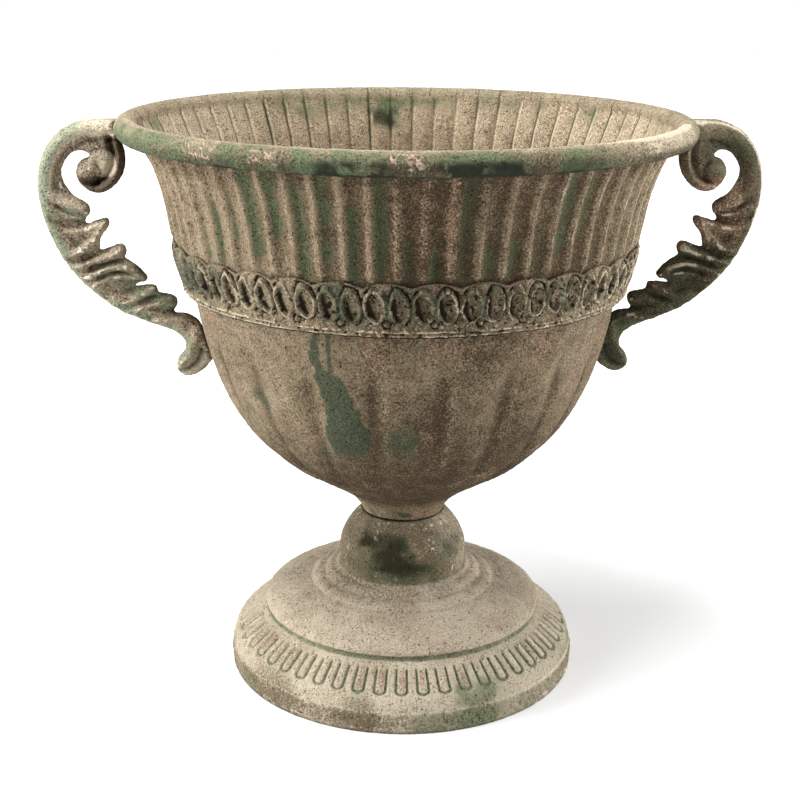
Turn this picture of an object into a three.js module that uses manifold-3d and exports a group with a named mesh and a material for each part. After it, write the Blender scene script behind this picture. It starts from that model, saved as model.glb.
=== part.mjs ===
// Two-handled garden urn of pressed sheet metal with cast scroll handles.
// Millimetres, +Z up. The origin is the centre of the foot on the floor, and the handles lie along X.
import * as THREE from 'three';
import Module from 'manifold-3d';
import { mergeVertices } from 'three/addons/utils/BufferGeometryUtils.js';

const wasm = await Module();
wasm.setup();

// Sheet and clearances
const SHEET = 1.5;                  // thickness of every pressed or spun shell
const GAP = 0.3;                    // between pieces that touch
const LAP_GAP = 0.5;                // between cones that are nested in a lap joint

// Rim and fluted wall
const HEIGHT = 411.5;               // floor to the top of the rolled rim
const RIM_RADIUS = 200;             // outermost edge of the roll
const ROLL_RADIUS = 8;              // outside radius of the rolled rim
const WALL_WAIST_RADIUS = 167.3;    // between the flutes, at WALL_WAIST_HEIGHT
const WALL_WAIST_HEIGHT = 360;
const WALL_FLARE_RADIUS = 173.2;    // between the flutes, at WALL_FLARE_HEIGHT
const WALL_FLARE_HEIGHT = 379;
const FLUTES = 64;
const FLUTE_HEIGHT = 2.4;           // how far a ridge stands out
const FLUTE_RUN_OUT = 6;            // height in which a ridge rises from the plain lap

// Ornament band round the lap joint
const BAND_BOTTOM = 291.5;
const BAND_HEIGHT = 33;
const BAND_THICKNESS = 3.2;
const BAND_ARCHES = 34;             // scallops along the top edge, two loops under each
const BAND_PHASE = 2.5;             // degrees from the front to the nearest arch
const SCALLOP_HEIGHT = 3;
const LOOP_DEPTH = 1.6;             // depth of the recess inside each loop
const BEAD_HEIGHT = 4.5;            // plain bead along the bottom edge
const BEAD_STANDS = 0.8;

// Bowl
const SHOULDER_RADIUS = 149.3;      // bowl just under the band
const LAP_STEP = 1.3;               // the bowl steps out into the lap
const LAP_TAPER = 0.25;             // radius gained per millimetre of height in the lap
const BOWL_LAP_TOP = 318;
const WALL_LAP_BOTTOM = 297;
const BOWL_SIDE = [142, 250];       // radius and height of points down the side of the bowl
const BOWL_HAUNCH = [126.5, 209.9];
const BOWL_TURN = [105, 179.5];
const BOWL_UNDERSIDE = [88, 164.7];
const BOWL_HEEL = [69.6, 153.2];
const NECK_TOP = [40, 133.4];
const NECK_BEND = [33.4, 126.8];
const LOBES = 20;
const LOBE_PHASE = 5.6;             // degrees from the front to the nearest crease
const LOBE_DEPTH = 3;               // depth of a crease at the haunch
const LOBE_SIDES = 3;               // flat strips that make up one lobe

// Pedestal
const NECK_RADIUS = 30.2;
const NECK_HEIGHT = 119;            // joint between bowl and pedestal
const BALL_RADIUS = 47;
const BALL_HEIGHT = 87;             // height of the widest part of the ball
const RING_STEP_INNER = [54, 72];
const RING_STEP_OUTER = [66.7, 65.4];
const DOME_SIDE = [91, 57.4];
const DOME_RADIUS = 103.6;
const DOME_EDGE_HEIGHT = 50.2;
const LIP_DEPTH = 4;                // the dome's edge turns down by this much

// Foot ring
const FOOT_RADIUS = 130;
const FOOT_BAND_HEIGHT = 13.5;      // upright band at the floor
const FOOT_SHOULDER_HEIGHT = 25.6;
const FOOT_SHOULDER_INSET = 4;
const LIP_GROOVE = 2.4;             // open groove under the dome's lip
const RING_FLANGE = 9;              // the ring reaches this far in under the dome
const HEM_HEIGHT = 6;
const HEM_THICKNESS = 3.4;
const TONGUES = 50;
const TONGUE_PHASE = 3.1;           // degrees from the front to the nearest tongue
const TONGUE_RELIEF = 1.1;
const TONGUE_ENDS = [0.14, 0.22, 0.75, 0.9];  // where the tongues rise and run out down the slope

// Tie bolt through the neck
const BOLT_RADIUS = 4;
const BOLT_HEAD_RADIUS = 7.5;       // over the corners
const BOLT_HEAD_HEIGHT = 5.3;
const NUT_HEIGHT = 6.5;
const BOLT_PROJECTION = 4;          // thread left below the nut
const BOLT_CHAMFER = 0.8;
const TIE_WASHER_RADIUS = 15;
const TIE_WASHER_HEIGHT = 1.6;
const GASKET_RADIUS = 18;
const GASKET_HEIGHT = 2;

// Handles
const HANDLE_BACK_RADIUS = 255.5;   // outermost reach of a handle
const HANDLE_HALF_WIDTH = 8.5;      // at the thick back rib
const LEAF_HALF_WIDTH = 6.8;
const WEB_HALF_WIDTH = 4.4;         // in the hollow between rib and leaf edge
const SCROLL_HALF_WIDTH = 7.6;
const BUD_RADIUS = 9;
const BUD_HALF_WIDTH = 10;

// Handle screws
const SCREW_HEIGHT = 250;
const SCREW_RADIUS = 2.5;
const SCREW_LENGTH = 11;            // shank beyond the washer
const SCREW_HEAD_RADIUS = 5;
const SCREW_HEAD_HEIGHT = 3.2;
const SCREW_WASHER_RADIUS = 6;
const SCREW_WASHER_HEIGHT = 1.2;

const degrees = THREE.MathUtils.degToRad;
const SMOOTH_STEPS = 20;            // sides of the small round pieces
const ROLL_SIDES = 8;               // flat sides round the rolled rim

// Shared values: the lap joint is built from the bowl outwards
const bowlLap = (z) => SHOULDER_RADIUS + LAP_STEP + LAP_TAPER * (z - BAND_BOTTOM);
const wallLap = (z) => bowlLap(z) + LAP_GAP + SHEET;
const bandLap = (z) => wallLap(z) + LAP_GAP;
const BAND_TOP = BAND_BOTTOM + BAND_HEIGHT;
const FLUTE_START = BAND_TOP + SCALLOP_HEIGHT + GAP;
const ROLL_CENTRE = [RIM_RADIUS - ROLL_RADIUS, HEIGHT - ROLL_RADIUS];
const DOME_PLATE = NECK_HEIGHT;
const BOWL_FLOOR = NECK_HEIGHT + GAP;
const TIE_HOLE = BOLT_RADIUS + GAP;

// Smooth curve through a few [radius, height] points, as `steps` straight pieces
function curveThrough(points, steps) {
  const curve = new THREE.SplineCurve(points.map(([r, z]) => new THREE.Vector2(r, z)));
  return curve.getPoints(steps).map((p) => [p.x, p.y]);
}

// Arc as [radius, height] points, angles in degrees from the outward direction
function arc([r0, z0], radius, from, to, steps) {
  return Array.from({ length: steps + 1 }, (_, i) => {
    const angle = degrees(from + ((to - from) * i) / steps);
    return [r0 + radius * Math.cos(angle), z0 + radius * Math.sin(angle)];
  });
}

// The same path moved sideways by `distance`, to the right of its direction
function offset(path, distance) {
  const unit = (a, b) => new THREE.Vector2(b[0] - a[0], b[1] - a[1]).normalize();
  return path.map((point, i) => {
    const before = i > 0 ? unit(path[i - 1], point) : unit(point, path[1]);
    const after = i < path.length - 1 ? unit(point, path[i + 1]) : before;
    const middle = before.clone().add(after).normalize();
    const reach = distance / Math.max(middle.dot(after), 0.5);
    return [point[0] + middle.y * reach, point[1] - middle.x * reach];
  });
}

// The first part of a path, up to a length measured along it
function firstPart(path, length) {
  const part = [path[0]];
  let left = length;
  for (let i = 1; i < path.length && left > 0; i += 1) {
    const [a, b] = [path[i - 1], path[i]];
    const step = Math.hypot(b[0] - a[0], b[1] - a[1]);
    const share = Math.min(left / step, 1);
    part.push([a[0] + (b[0] - a[0]) * share, a[1] + (b[1] - a[1]) * share]);
    left -= step;
  }
  return part;
}

// Value between 0 and 1 that rises from `start` to `end`
const ramp = (value, start, end) => THREE.MathUtils.smoothstep(value, start, end);

// Closed shell round the Z axis. Each row is { r, z, count, shape }: a ring of `count` points, moved by
// shape(angle) = [dr, dz]. The rows go once round the section, and neighbouring rows have the same count
// or one twice the other. The angle is 0 at the front, -Y, and grows towards +X.
function turned(rows, phase = 0) {
  const positions = [];
  const starts = rows.map(({ r, z, count, shape }) => {
    const start = positions.length / 3;
    for (let i = 0; i < count; i += 1) {
      const angle = degrees(phase) + (2 * Math.PI * i) / count;
      const [dr, dz] = shape ? shape(angle) : [0, 0];
      positions.push((r + dr) * Math.sin(angle), -(r + dr) * Math.cos(angle), z + dz);
    }
    return start;
  });
  const faces = [];
  rows.forEach((row, k) => {
    const next = (k + 1) % rows.length;
    const a = (i) => starts[k] + (i % row.count);
    const b = (i) => starts[next] + (i % rows[next].count);
    if (rows[next].count === row.count) {
      for (let i = 0; i < row.count; i += 1) {
        faces.push(a(i), a(i + 1), b(i + 1), a(i), b(i + 1), b(i));
      }
    } else if (rows[next].count > row.count) {
      for (let i = 0; i < row.count; i += 1) {
        faces.push(a(i), b(2 * i + 1), b(2 * i), a(i), a(i + 1), b(2 * i + 1));
        faces.push(a(i + 1), b(2 * i + 2), b(2 * i + 1));
      }
    } else {
      for (let i = 0; i < rows[next].count; i += 1) {
        faces.push(b(i), a(2 * i), a(2 * i + 1), b(i), a(2 * i + 1), b(i + 1));
        faces.push(b(i + 1), a(2 * i + 1), a(2 * i + 2));
      }
    }
  });
  const geometry = new THREE.BufferGeometry();
  geometry.setAttribute('position', new THREE.Float32BufferAttribute(positions, 3));
  geometry.setIndex(faces);
  return facingOut(geometry);
}

// Turn the faces of a closed mesh outwards if its volume comes out negative
function facingOut(geometry) {
  const p = geometry.attributes.position;
  const index = geometry.index.array;
  const [a, b, c] = [new THREE.Vector3(), new THREE.Vector3(), new THREE.Vector3()];
  let volume = 0;
  for (let i = 0; i < index.length; i += 3) {
    a.fromBufferAttribute(p, index[i]);
    b.fromBufferAttribute(p, index[i + 1]);
    c.fromBufferAttribute(p, index[i + 2]);
    volume += a.dot(b.cross(c));
  }
  if (volume < 0) {
    const flipped = Array.from(index);
    for (let i = 0; i < flipped.length; i += 3) {
      [flipped[i], flipped[i + 1]] = [flipped[i + 1], flipped[i]];
    }
    geometry.setIndex(flipped);
  }
  return geometry;
}

// Rows of one count from a path, with an optional relief
const rowsOf = (path, count, shape) => path.map(([r, z]) => ({ r, z, count, shape: shape && shape(r, z) }));

// Rows of a path that comes close to the axis, with half the count inside `radius`
const taperedRows = (path, count, radius, shape) => path.map(([r, z]) => (
  { r, z, count: r < radius ? count / 2 : count, shape: shape && shape(r, z) }));

// Three.js geometry to a solid for joining and cutting, and back
function solid(geometry) {
  const bare = geometry.clone();
  bare.deleteAttribute('normal');
  bare.deleteAttribute('uv');
  const merged = mergeVertices(bare, 1e-4);
  return new wasm.Manifold(new wasm.Mesh({
    numProp: 3,
    vertProperties: new Float32Array(merged.attributes.position.array),
    triVerts: new Uint32Array(merged.index.array),
  }));
}

function geometryOf(manifold) {
  const mesh = manifold.getMesh();
  const geometry = new THREE.BufferGeometry();
  geometry.setAttribute('position', new THREE.BufferAttribute(mesh.vertProperties, 3));
  geometry.setIndex(new THREE.BufferAttribute(mesh.triVerts, 1));
  return geometry;
}

// Solid of revolution round Z from a path that starts and ends on the axis
function lathe(path, segments) {
  const points = path.map(([r, z]) => new THREE.Vector2(r, z));
  const geometry = new THREE.LatheGeometry(points, segments).rotateX(Math.PI / 2);
  const bare = geometry.clone();
  bare.deleteAttribute('normal');
  bare.deleteAttribute('uv');
  return facingOut(mergeVertices(bare, 1e-4));
}

// Upright round bar between two heights, and a flat ring with a hole
const bar = (radius, bottom, top, sides = SMOOTH_STEPS) => lathe(
  [[0, bottom], [radius, bottom], [radius, top], [0, top]], sides);
const washer = (radius, hole, bottom, height, sides = SMOOTH_STEPS) => turned(
  rowsOf([[hole, bottom], [radius, bottom], [radius, bottom + height], [hole, bottom + height]], sides),
);

const object = new THREE.Group();
function add(name, geometry, color, roughness, metalness) {
  geometry.computeVertexNormals();
  const material = new THREE.MeshStandardMaterial({ color, roughness, metalness });
  const mesh = new THREE.Mesh(geometry, material);
  mesh.name = name;
  object.add(mesh);
  return mesh;
}

// Colours of the aged finish
const STONE = 0x8d8069;
const PALE_STONE = 0xa89a82;
const VERDIGRIS = 0x5d6b54;
const STEEL = 0x8b8d8c;
const RUBBER = 0x2a2a28;

// Upper wall: fluted collar whose top edge is rolled outwards into a hollow bead
const CURL_END = -150;              // degrees round the roll where the sheet's edge stops
const ROLL_START = 156;             // where the wall runs into the roll, seen from inside the urn
const HOLLOW_START = 165;           // the same for the face inside the roll
const HOLLOW_STEPS = 4;
const rollOutside = [
  ...arc(ROLL_CENTRE, ROLL_RADIUS, CURL_END, -90, 1),
  ...arc(ROLL_CENTRE, ROLL_RADIUS, -45, 90, 3),
  ...arc(ROLL_CENTRE, ROLL_RADIUS, 123, ROLL_START, 1),
];
const [wallTop] = arc(ROLL_CENTRE, ROLL_RADIUS - SHEET, HOLLOW_START, CURL_END, 1);
const wallOuter = curveThrough([
  [wallLap(FLUTE_START), FLUTE_START],
  [WALL_WAIST_RADIUS, WALL_WAIST_HEIGHT],
  [WALL_FLARE_RADIUS, WALL_FLARE_HEIGHT],
  [wallTop[0] - ROLL_RADIUS * 0.4, wallTop[1] - ROLL_RADIUS],
  wallTop,
], 40);
const wallRadius = (z) => {
  const above = wallOuter.findIndex((p) => p[1] >= z);
  const [p, q] = [wallOuter[above - 1], wallOuter[above]];
  return p[0] + ((q[0] - p[0]) * (z - p[1])) / (q[1] - p[1]);
};
const fluteEnd = ROLL_CENTRE[1] - ROLL_RADIUS;
const fluteRelief = (r, z) => {
  const rise = ramp(z, FLUTE_START, FLUTE_START + FLUTE_RUN_OUT);
  return (angle) => [FLUTE_HEIGHT * rise * (0.5 + 0.5 * Math.cos(FLUTES * angle)), 0];
};

function upperWall() {
  const ridgeStart = FLUTE_START + FLUTE_RUN_OUT;
  const heights = [ridgeStart, (FLUTE_START + WALL_FLARE_HEIGHT) / 2, WALL_FLARE_HEIGHT, fluteEnd];
  const fluted = heights.map((z) => [wallRadius(z), z]);
  const lap = [WALL_LAP_BOTTOM, FLUTE_START].map((z) => [wallLap(z), z]);
  const plain = [...lap, ...fluted, wallTop];
  const inside = offset(plain, -SHEET);
  const outsideRows = [
    ...rowsOf(lap, FLUTES),
    ...rowsOf(fluted, 2 * FLUTES, fluteRelief),
    ...rowsOf(arc(ROLL_CENTRE, ROLL_RADIUS - SHEET, HOLLOW_START, CURL_END, HOLLOW_STEPS), FLUTES),
  ];
  const insideRows = [
    ...rowsOf(rollOutside, FLUTES),
    ...rowsOf(inside.slice(2, 6).reverse(), 2 * FLUTES, fluteRelief),
    ...rowsOf(inside.slice(0, 2).reverse(), FLUTES),
  ];
  return turned([...outsideRows, ...insideRows]);
}
add('upper_wall', upperWall(), STONE, 0.85, 0.1);

// Lower bowl: lobed shell with a lap at the top and a neck cone with a flat floor at the bottom
const bowlSide = curveThrough([
  [SHOULDER_RADIUS, BAND_BOTTOM - 2 * LAP_STEP], BOWL_SIDE, BOWL_HAUNCH, BOWL_TURN, BOWL_UNDERSIDE, BOWL_HEEL,
], 8);
const lobeDepth = (r, z) => {
  const below = 1 - ramp(z, BOWL_SIDE[1], BAND_BOTTOM - LAP_STEP);
  const above = ramp(z, NECK_TOP[1], BOWL_UNDERSIDE[1]);
  return LOBE_DEPTH * below * above * (r / BOWL_HAUNCH[0]);
};
const lobeRelief = (r, z) => (angle) => {
  const crown = Math.abs(Math.sin((LOBES / 2) * (angle - degrees(LOBE_PHASE))));
  return [-lobeDepth(r, z) * (1 - crown), 0];
};
const bowlOuter = [
  [bowlLap(BOWL_LAP_TOP), BOWL_LAP_TOP],
  [bowlLap(BAND_BOTTOM), BAND_BOTTOM],
  ...bowlSide,
  NECK_TOP,
  NECK_BEND,
  [NECK_RADIUS, BOWL_FLOOR],
];

function bowlShell() {
  const inside = offset([...bowlOuter, [TIE_HOLE, BOWL_FLOOR]], SHEET);
  inside[0][1] = BOWL_LAP_TOP;
  inside[inside.length - 1][0] = TIE_HOLE;
  const outside = [...bowlOuter, [TIE_HOLE, BOWL_FLOOR]];
  return turned([
    ...taperedRows(outside, LOBE_SIDES * LOBES, NECK_TOP[0] + 2 * SHEET, lobeRelief),
    ...taperedRows(inside.reverse(), LOBE_SIDES * LOBES, NECK_TOP[0] + 2 * SHEET, lobeRelief),
  ], LOBE_PHASE);
}

// Where a handle screw crosses the bowl's side, and the wall's direction there
const side = bowlOuter.findIndex((p) => p[1] < SCREW_HEIGHT);
const [upperPoint, lowerPoint] = [bowlOuter[side - 1], bowlOuter[side]];
const slope = (upperPoint[0] - lowerPoint[0]) / (upperPoint[1] - lowerPoint[1]);
const screwRadius = lowerPoint[0] + slope * (SCREW_HEIGHT - lowerPoint[1]);
const screwTilt = Math.atan(slope);

// Place a geometry made along +Z, with z = 0 on the bowl's outer face, as a handle screw points
function alongScrew(geometry, sign) {
  return geometry.clone()
    .rotateY(Math.PI / 2 + screwTilt)
    .translate(screwRadius, 0, SCREW_HEIGHT)
    .rotateZ(sign > 0 ? 0 : Math.PI);
}
const SIDES = [['left', -1], ['right', 1]];

// Radius of the flat-sided bowl at an angle from the front, at the height of the screws
function facetRadius(angle) {
  const step = (2 * Math.PI) / (LOBE_SIDES * LOBES);
  const first = Math.floor((angle - degrees(LOBE_PHASE)) / step) * step + degrees(LOBE_PHASE);
  const corner = (a) => screwRadius + lobeRelief(screwRadius, SCREW_HEIGHT)(a)[0];
  const [r0, r1] = [corner(first), corner(first + step)];
  return (r0 * r1 * Math.sin(step)) / (r0 * Math.sin(angle - first) + r1 * Math.sin(first + step - angle));
}

// A washer rests on whatever part of the curved and lobed wall stands furthest in under it
const washerSpan = Math.asin(SCREW_WASHER_RADIUS / screwRadius);
const wallUnderWasher = SIDES.flatMap(([, sign]) => [-1, -0.5, 0, 0.5, 1].map((part) => (
  screwRadius - facetRadius((sign * Math.PI) / 2 + part * washerSpan) * Math.cos(part * washerSpan))));
const WALL_SEAT = -(SHEET + GAP + Math.max(...wallUnderWasher));
const screwHole = bar(SCREW_RADIUS + GAP, WALL_SEAT - 4 * SHEET, SCREW_LENGTH + GAP, 12);

let bowl = solid(bowlShell());
for (const [, sign] of SIDES) {
  bowl = bowl.subtract(solid(alongScrew(screwHole, sign)));
}
add('lower_bowl', geometryOf(bowl), STONE, 0.88, 0.1);

// Ornament band: strap over the lap with a loop recess every half arch and a scalloped top edge
function ornamentBand() {
  const arches = (angle) => Math.abs(Math.cos((BAND_ARCHES / 2) * (angle - degrees(BAND_PHASE))));
  const scallop = () => (angle) => [0, SCALLOP_HEIGHT * arches(angle)];
  const loops = (depth) => () => (angle) => [
    -depth * (0.5 - 0.5 * Math.cos(2 * BAND_ARCHES * (angle - degrees(BAND_PHASE)))), 0];
  const face = (z, stands) => [bandLap(z) + BAND_THICKNESS + stands, z];
  const count = 2 * BAND_ARCHES;
  const loopBottom = BAND_BOTTOM + BEAD_HEIGHT + BAND_THICKNESS;
  const middle = (loopBottom + BAND_TOP) / 2;
  const recess = [face(middle - BAND_HEIGHT / 5, 0), face(middle + BAND_HEIGHT / 5, 0)];
  return turned([
    ...rowsOf([
      [bandLap(BAND_BOTTOM), BAND_BOTTOM],
      face(BAND_BOTTOM, 0),
      face(BAND_BOTTOM + BEAD_HEIGHT / 2, BEAD_STANDS),
      face(BAND_BOTTOM + BEAD_HEIGHT, -BEAD_STANDS),
    ], count),
    ...rowsOf([face(loopBottom, 0)], 2 * count),
    ...rowsOf(recess, 2 * count, loops(LOOP_DEPTH)),
    ...rowsOf([face(BAND_TOP - LOOP_DEPTH, 0)], 2 * count),
    ...rowsOf([face(BAND_TOP, -LOOP_DEPTH)], 2 * count, scallop),
    ...rowsOf([[bandLap(BAND_TOP + SCALLOP_HEIGHT), BAND_TOP]], 2 * count, scallop),
  ], BAND_PHASE);
}
add('ornament_band', ornamentBand(), VERDIGRIS, 0.82, 0.1);

// Pedestal: plate at the neck, ball, two ring steps, dome and a lip turned down. It has the foot ring's
// facets, so that the two stay evenly apart where the dome rests on the ring.
const domeOuter = [
  [NECK_RADIUS, DOME_PLATE],
  ...curveThrough([
    [NECK_RADIUS + SHEET, DOME_PLATE - SHEET],
    [BALL_RADIUS - 4, BALL_HEIGHT + 16],
    [BALL_RADIUS, BALL_HEIGHT],
    RING_STEP_INNER,
    RING_STEP_OUTER,
    DOME_SIDE,
    [DOME_RADIUS, DOME_EDGE_HEIGHT],
  ], 12),
  [DOME_RADIUS + GAP, DOME_EDGE_HEIGHT - LIP_DEPTH],
];
function pedestalDome() {
  const outside = [[TIE_HOLE, DOME_PLATE], ...domeOuter];
  const inside = offset(outside, SHEET);
  return turned([
    ...taperedRows(outside, TONGUES, RING_STEP_INNER[0] + SHEET),
    ...taperedRows(inside.reverse(), TONGUES, RING_STEP_INNER[0] + SHEET),
  ], TONGUE_PHASE);
}
add('pedestal_dome', pedestalDome(), PALE_STONE, 0.88, 0.1);

// Foot ring: flange under the dome, open groove, tongued slope, shoulder and upright band with a hem
function footRing() {
  const flange = firstPart(offset(domeOuter, SHEET + GAP).slice(0, -1).reverse(), RING_FLANGE);
  const corner = flange[0];
  const grooveBottom = DOME_EDGE_HEIGHT - LIP_DEPTH - LIP_GROOVE;
  const groove = [DOME_RADIUS - SHEET - GAP, grooveBottom];
  const shoulder = [FOOT_RADIUS - FOOT_SHOULDER_INSET, FOOT_SHOULDER_HEIGHT];
  const onSlope = (part) => [[
    groove[0] + (shoulder[0] - groove[0]) * part,
    groove[1] + (shoulder[1] - groove[1]) * part,
  ]];
  const outside = [
    ...flange.slice(1).reverse(),
    [corner[0] - SHEET / 2, corner[1] - SHEET / 4],
    [groove[0], corner[1] - SHEET],
    groove,
    ...TONGUE_ENDS.flatMap(onSlope),
    shoulder,
    [FOOT_RADIUS - 1.4 * SHEET, FOOT_BAND_HEIGHT + SHEET],
    [FOOT_RADIUS, FOOT_BAND_HEIGHT - SHEET],
    [FOOT_RADIUS, 0],
  ];
  const slope = outside.indexOf(groove) + 2;
  const plain = [...outside.slice(0, slope - 1), ...outside.slice(slope + 3)];
  const inside = offset(plain, SHEET);
  const last = inside.length - 1;
  inside[last - 1] = [FOOT_RADIUS - SHEET, FOOT_BAND_HEIGHT - SHEET];
  inside[last] = [FOOT_RADIUS - SHEET, HEM_HEIGHT];
  const hem = [[FOOT_RADIUS - HEM_THICKNESS, 0], [FOOT_RADIUS - HEM_THICKNESS, HEM_HEIGHT - SHEET / 2]];
  const tongue = () => (angle) => [
    0, -TONGUE_RELIEF * (0.5 - 0.5 * Math.cos(TONGUES * (angle - degrees(TONGUE_PHASE))))];
  return turned([
    ...rowsOf(outside.slice(0, slope), TONGUES),
    ...rowsOf(outside.slice(slope, slope + 2), 2 * TONGUES, tongue),
    ...rowsOf(outside.slice(slope + 2), TONGUES),
    ...rowsOf(hem, TONGUES),
    ...rowsOf(inside.reverse(), TONGUES),
  ], TONGUE_PHASE);
}
add('foot_ring', footRing(), PALE_STONE, 0.86, 0.1);

// Tie bolt, its gasket and washers, and the nut under the pedestal's plate
const gasketBottom = BOWL_FLOOR + SHEET + GAP;
const topWasher = gasketBottom + GASKET_HEIGHT + GAP;
const headBottom = topWasher + TIE_WASHER_HEIGHT + GAP;
const lowerWasher = DOME_PLATE - SHEET - GAP - TIE_WASHER_HEIGHT;
const nutTop = lowerWasher - GAP;
const nutBottom = nutTop - NUT_HEIGHT;
const boltEnd = nutBottom - BOLT_PROJECTION;
const bolt = lathe([
  [0, boltEnd],
  [BOLT_RADIUS - BOLT_CHAMFER, boltEnd],
  [BOLT_RADIUS, boltEnd + BOLT_CHAMFER],
  [BOLT_RADIUS, headBottom],
  [0, headBottom],
], 16);
const boltHead = bar(BOLT_HEAD_RADIUS, headBottom, headBottom + BOLT_HEAD_HEIGHT, 6);
add('tie_bolt', geometryOf(solid(bolt).add(solid(boltHead))), STEEL, 0.45, 0.8);
add('bowl_gasket', washer(GASKET_RADIUS, TIE_HOLE, gasketBottom, GASKET_HEIGHT), RUBBER, 0.9, 0);
add('bowl_washer', washer(TIE_WASHER_RADIUS, TIE_HOLE, topWasher, TIE_WASHER_HEIGHT), STEEL, 0.5, 0.8);
add('pedestal_washer', washer(TIE_WASHER_RADIUS, TIE_HOLE, lowerWasher, TIE_WASHER_HEIGHT), STEEL, 0.5, 0.8);
const nutBlank = bar(BOLT_HEAD_RADIUS, nutBottom, nutTop, 6);
const nutBore = bar(TIE_HOLE, nutBottom - 1, nutTop + 1, 16);
add('tie_nut', geometryOf(solid(nutBlank).subtract(solid(nutBore))), STEEL, 0.5, 0.8);

// Handle screws and their washers, along the bowl wall's own direction
const washerBottom = WALL_SEAT - SCREW_WASHER_HEIGHT;
const screwHeadTop = washerBottom - GAP;
const screw = lathe([
  [0, screwHeadTop - SCREW_HEAD_HEIGHT],
  [SCREW_HEAD_RADIUS * 0.7, screwHeadTop - SCREW_HEAD_HEIGHT * 0.85],
  [SCREW_HEAD_RADIUS, screwHeadTop - SCREW_HEAD_HEIGHT * 0.3],
  [SCREW_HEAD_RADIUS, screwHeadTop],
  [SCREW_RADIUS, screwHeadTop],
  [SCREW_RADIUS, SCREW_LENGTH - 1],
  [SCREW_RADIUS * 0.6, SCREW_LENGTH],
  [0, SCREW_LENGTH],
], 12);
const screwWasher = washer(SCREW_WASHER_RADIUS, SCREW_RADIUS + GAP, washerBottom, SCREW_WASHER_HEIGHT, 16);
for (const [name, sign] of SIDES) {
  add(`handle_screw_${name}`, alongScrew(screw, sign), STEEL, 0.5, 0.8);
  add(`screw_washer_${name}`, alongScrew(screwWasher, sign), STEEL, 0.5, 0.8);
}

// Handles. The outline lies in the plane of X and Z and is written for the right handle. A point is given as
// [along, out]: a percentage of the way from the screw in the bowl up to the roll, and a percentage of the
// handle's bow outwards. The back rib is one smooth curve from the lug on the roll to the curled foot, and
// the inner edge runs over the leaf tips and the notches between them.
const handleFoot = new THREE.Vector2(screwRadius, SCREW_HEIGHT);
const handleChord = new THREE.Vector2(RIM_RADIUS, ROLL_CENTRE[1]).sub(handleFoot);
const BACK = [
  [100.5, -6], [103.5, 8], [106.5, 27.5], [105.5, 52], [99.5, 75], [88.5, 92], [76, 98.5], [61.5, 99.5],
  [47.5, 93.5], [33.5, 79], [22, 59.5], [13.5, 37],
];
const bowThatReaches = ([along, out]) => {
  const reach = HANDLE_BACK_RADIUS - handleFoot.x - (handleChord.x * along) / 100;
  return (reach * handleChord.length()) / (handleChord.y * (out / 100));
};
const handleBow = Math.min(...BACK.filter(([, out]) => out > 0).map(bowThatReaches));
const handleOut = new THREE.Vector2(handleChord.y, -handleChord.x).setLength(handleBow);
const handlePoint = ([along, out]) => {
  const point = handleFoot.clone().addScaledVector(handleChord, along / 100);
  return point.addScaledVector(handleOut, out / 100).toArray();
};
const LUG_EDGE = [[95, -2], [95, 11], [94.5, 23]];
const ARM_EDGE = [
  [92.5, 34.5], [95, 39], [96, 47], [94.5, 55], [92, 62.5], [88.5, 66.5], [84, 67], [78.5, 63],
];
const LEAVES = [
  { tip: [[75, 57], [72, 55.5]], notch: [67.5, 62.5] },
  { tip: [[67, 44], [64.5, 42]], notch: [54, 60] },
  { tip: [[53.5, 42], [50.5, 39.5]], notch: [47.5, 42] },
  { tip: [[41.5, 34.5], [36.5, 31.5]], notch: [35, 46] },
  { tip: [[33, 31], [30.5, 27]], notch: [28, 26] },
  { tip: [[25.5, 17.5], [22, 13.5]], notch: [19, 18] },
  { tip: [[14.5, 9], [8.5, 2.5]], notch: [4, 1.5] },
];
const FOOT_CURL = [
  { back: [8, 23.5], edge: [1, 1] },
  { back: [2, 21], edge: [-1.5, 1.5] },
  { back: [-0.5, 25.5], edge: [-4, 3] },
  { back: [-3, 34.5], edge: [-6, 4] },
  { back: [-6, 39], edge: [-7.5, 4] },
  { back: [-8.5, 36], edge: [-8, 4.5] },
  { back: [-10.5, 27.5], edge: [-8, 5.5] },
  { back: [-10, 17], edge: [-7.5, 6] },
];

// Section from back to edge: part of the way across, and the half width there for a rib and for a notch
const SECTION = [
  { part: 0, rib: 0.45 * HANDLE_HALF_WIDTH, notch: 0.45 * HANDLE_HALF_WIDTH },
  { part: 0.12, rib: HANDLE_HALF_WIDTH, notch: HANDLE_HALF_WIDTH },
  { part: 0.3, rib: 0.9 * HANDLE_HALF_WIDTH, notch: 0.85 * HANDLE_HALF_WIDTH },
  { part: 0.58, rib: LEAF_HALF_WIDTH, notch: WEB_HALF_WIDTH },
  { part: 0.86, rib: LEAF_HALF_WIDTH, notch: WEB_HALF_WIDTH },
  { part: 1, rib: 0.5 * LEAF_HALF_WIDTH, notch: 0.5 * WEB_HALF_WIDTH },
];

// Stations from the lug to the foot, each with a back point, an edge point and how rib-like it is
function handleStations() {
  const leafEdges = LEAVES.flatMap(({ tip, notch }) => [
    ...tip.map((edge) => ({ edge, rib: 1 })),
    { edge: notch, rib: 0 },
  ]);
  const edges = [...[...LUG_EDGE, ...ARM_EDGE].map((edge) => ({ edge, rib: 1 })), ...leafEdges];
  const back = new THREE.SplineCurve(BACK.map((point) => new THREE.Vector2(...handlePoint(point))));
  const stations = edges.map(({ edge, rib }, i) => (
    { back: back.getPointAt(i / (edges.length - 1)).toArray(), edge: handlePoint(edge), rib }));
  const curl = FOOT_CURL.map((point) => (
    { back: handlePoint(point.back), edge: handlePoint(point.edge), rib: 1 }));
  return [...stations, ...curl];
}

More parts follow.
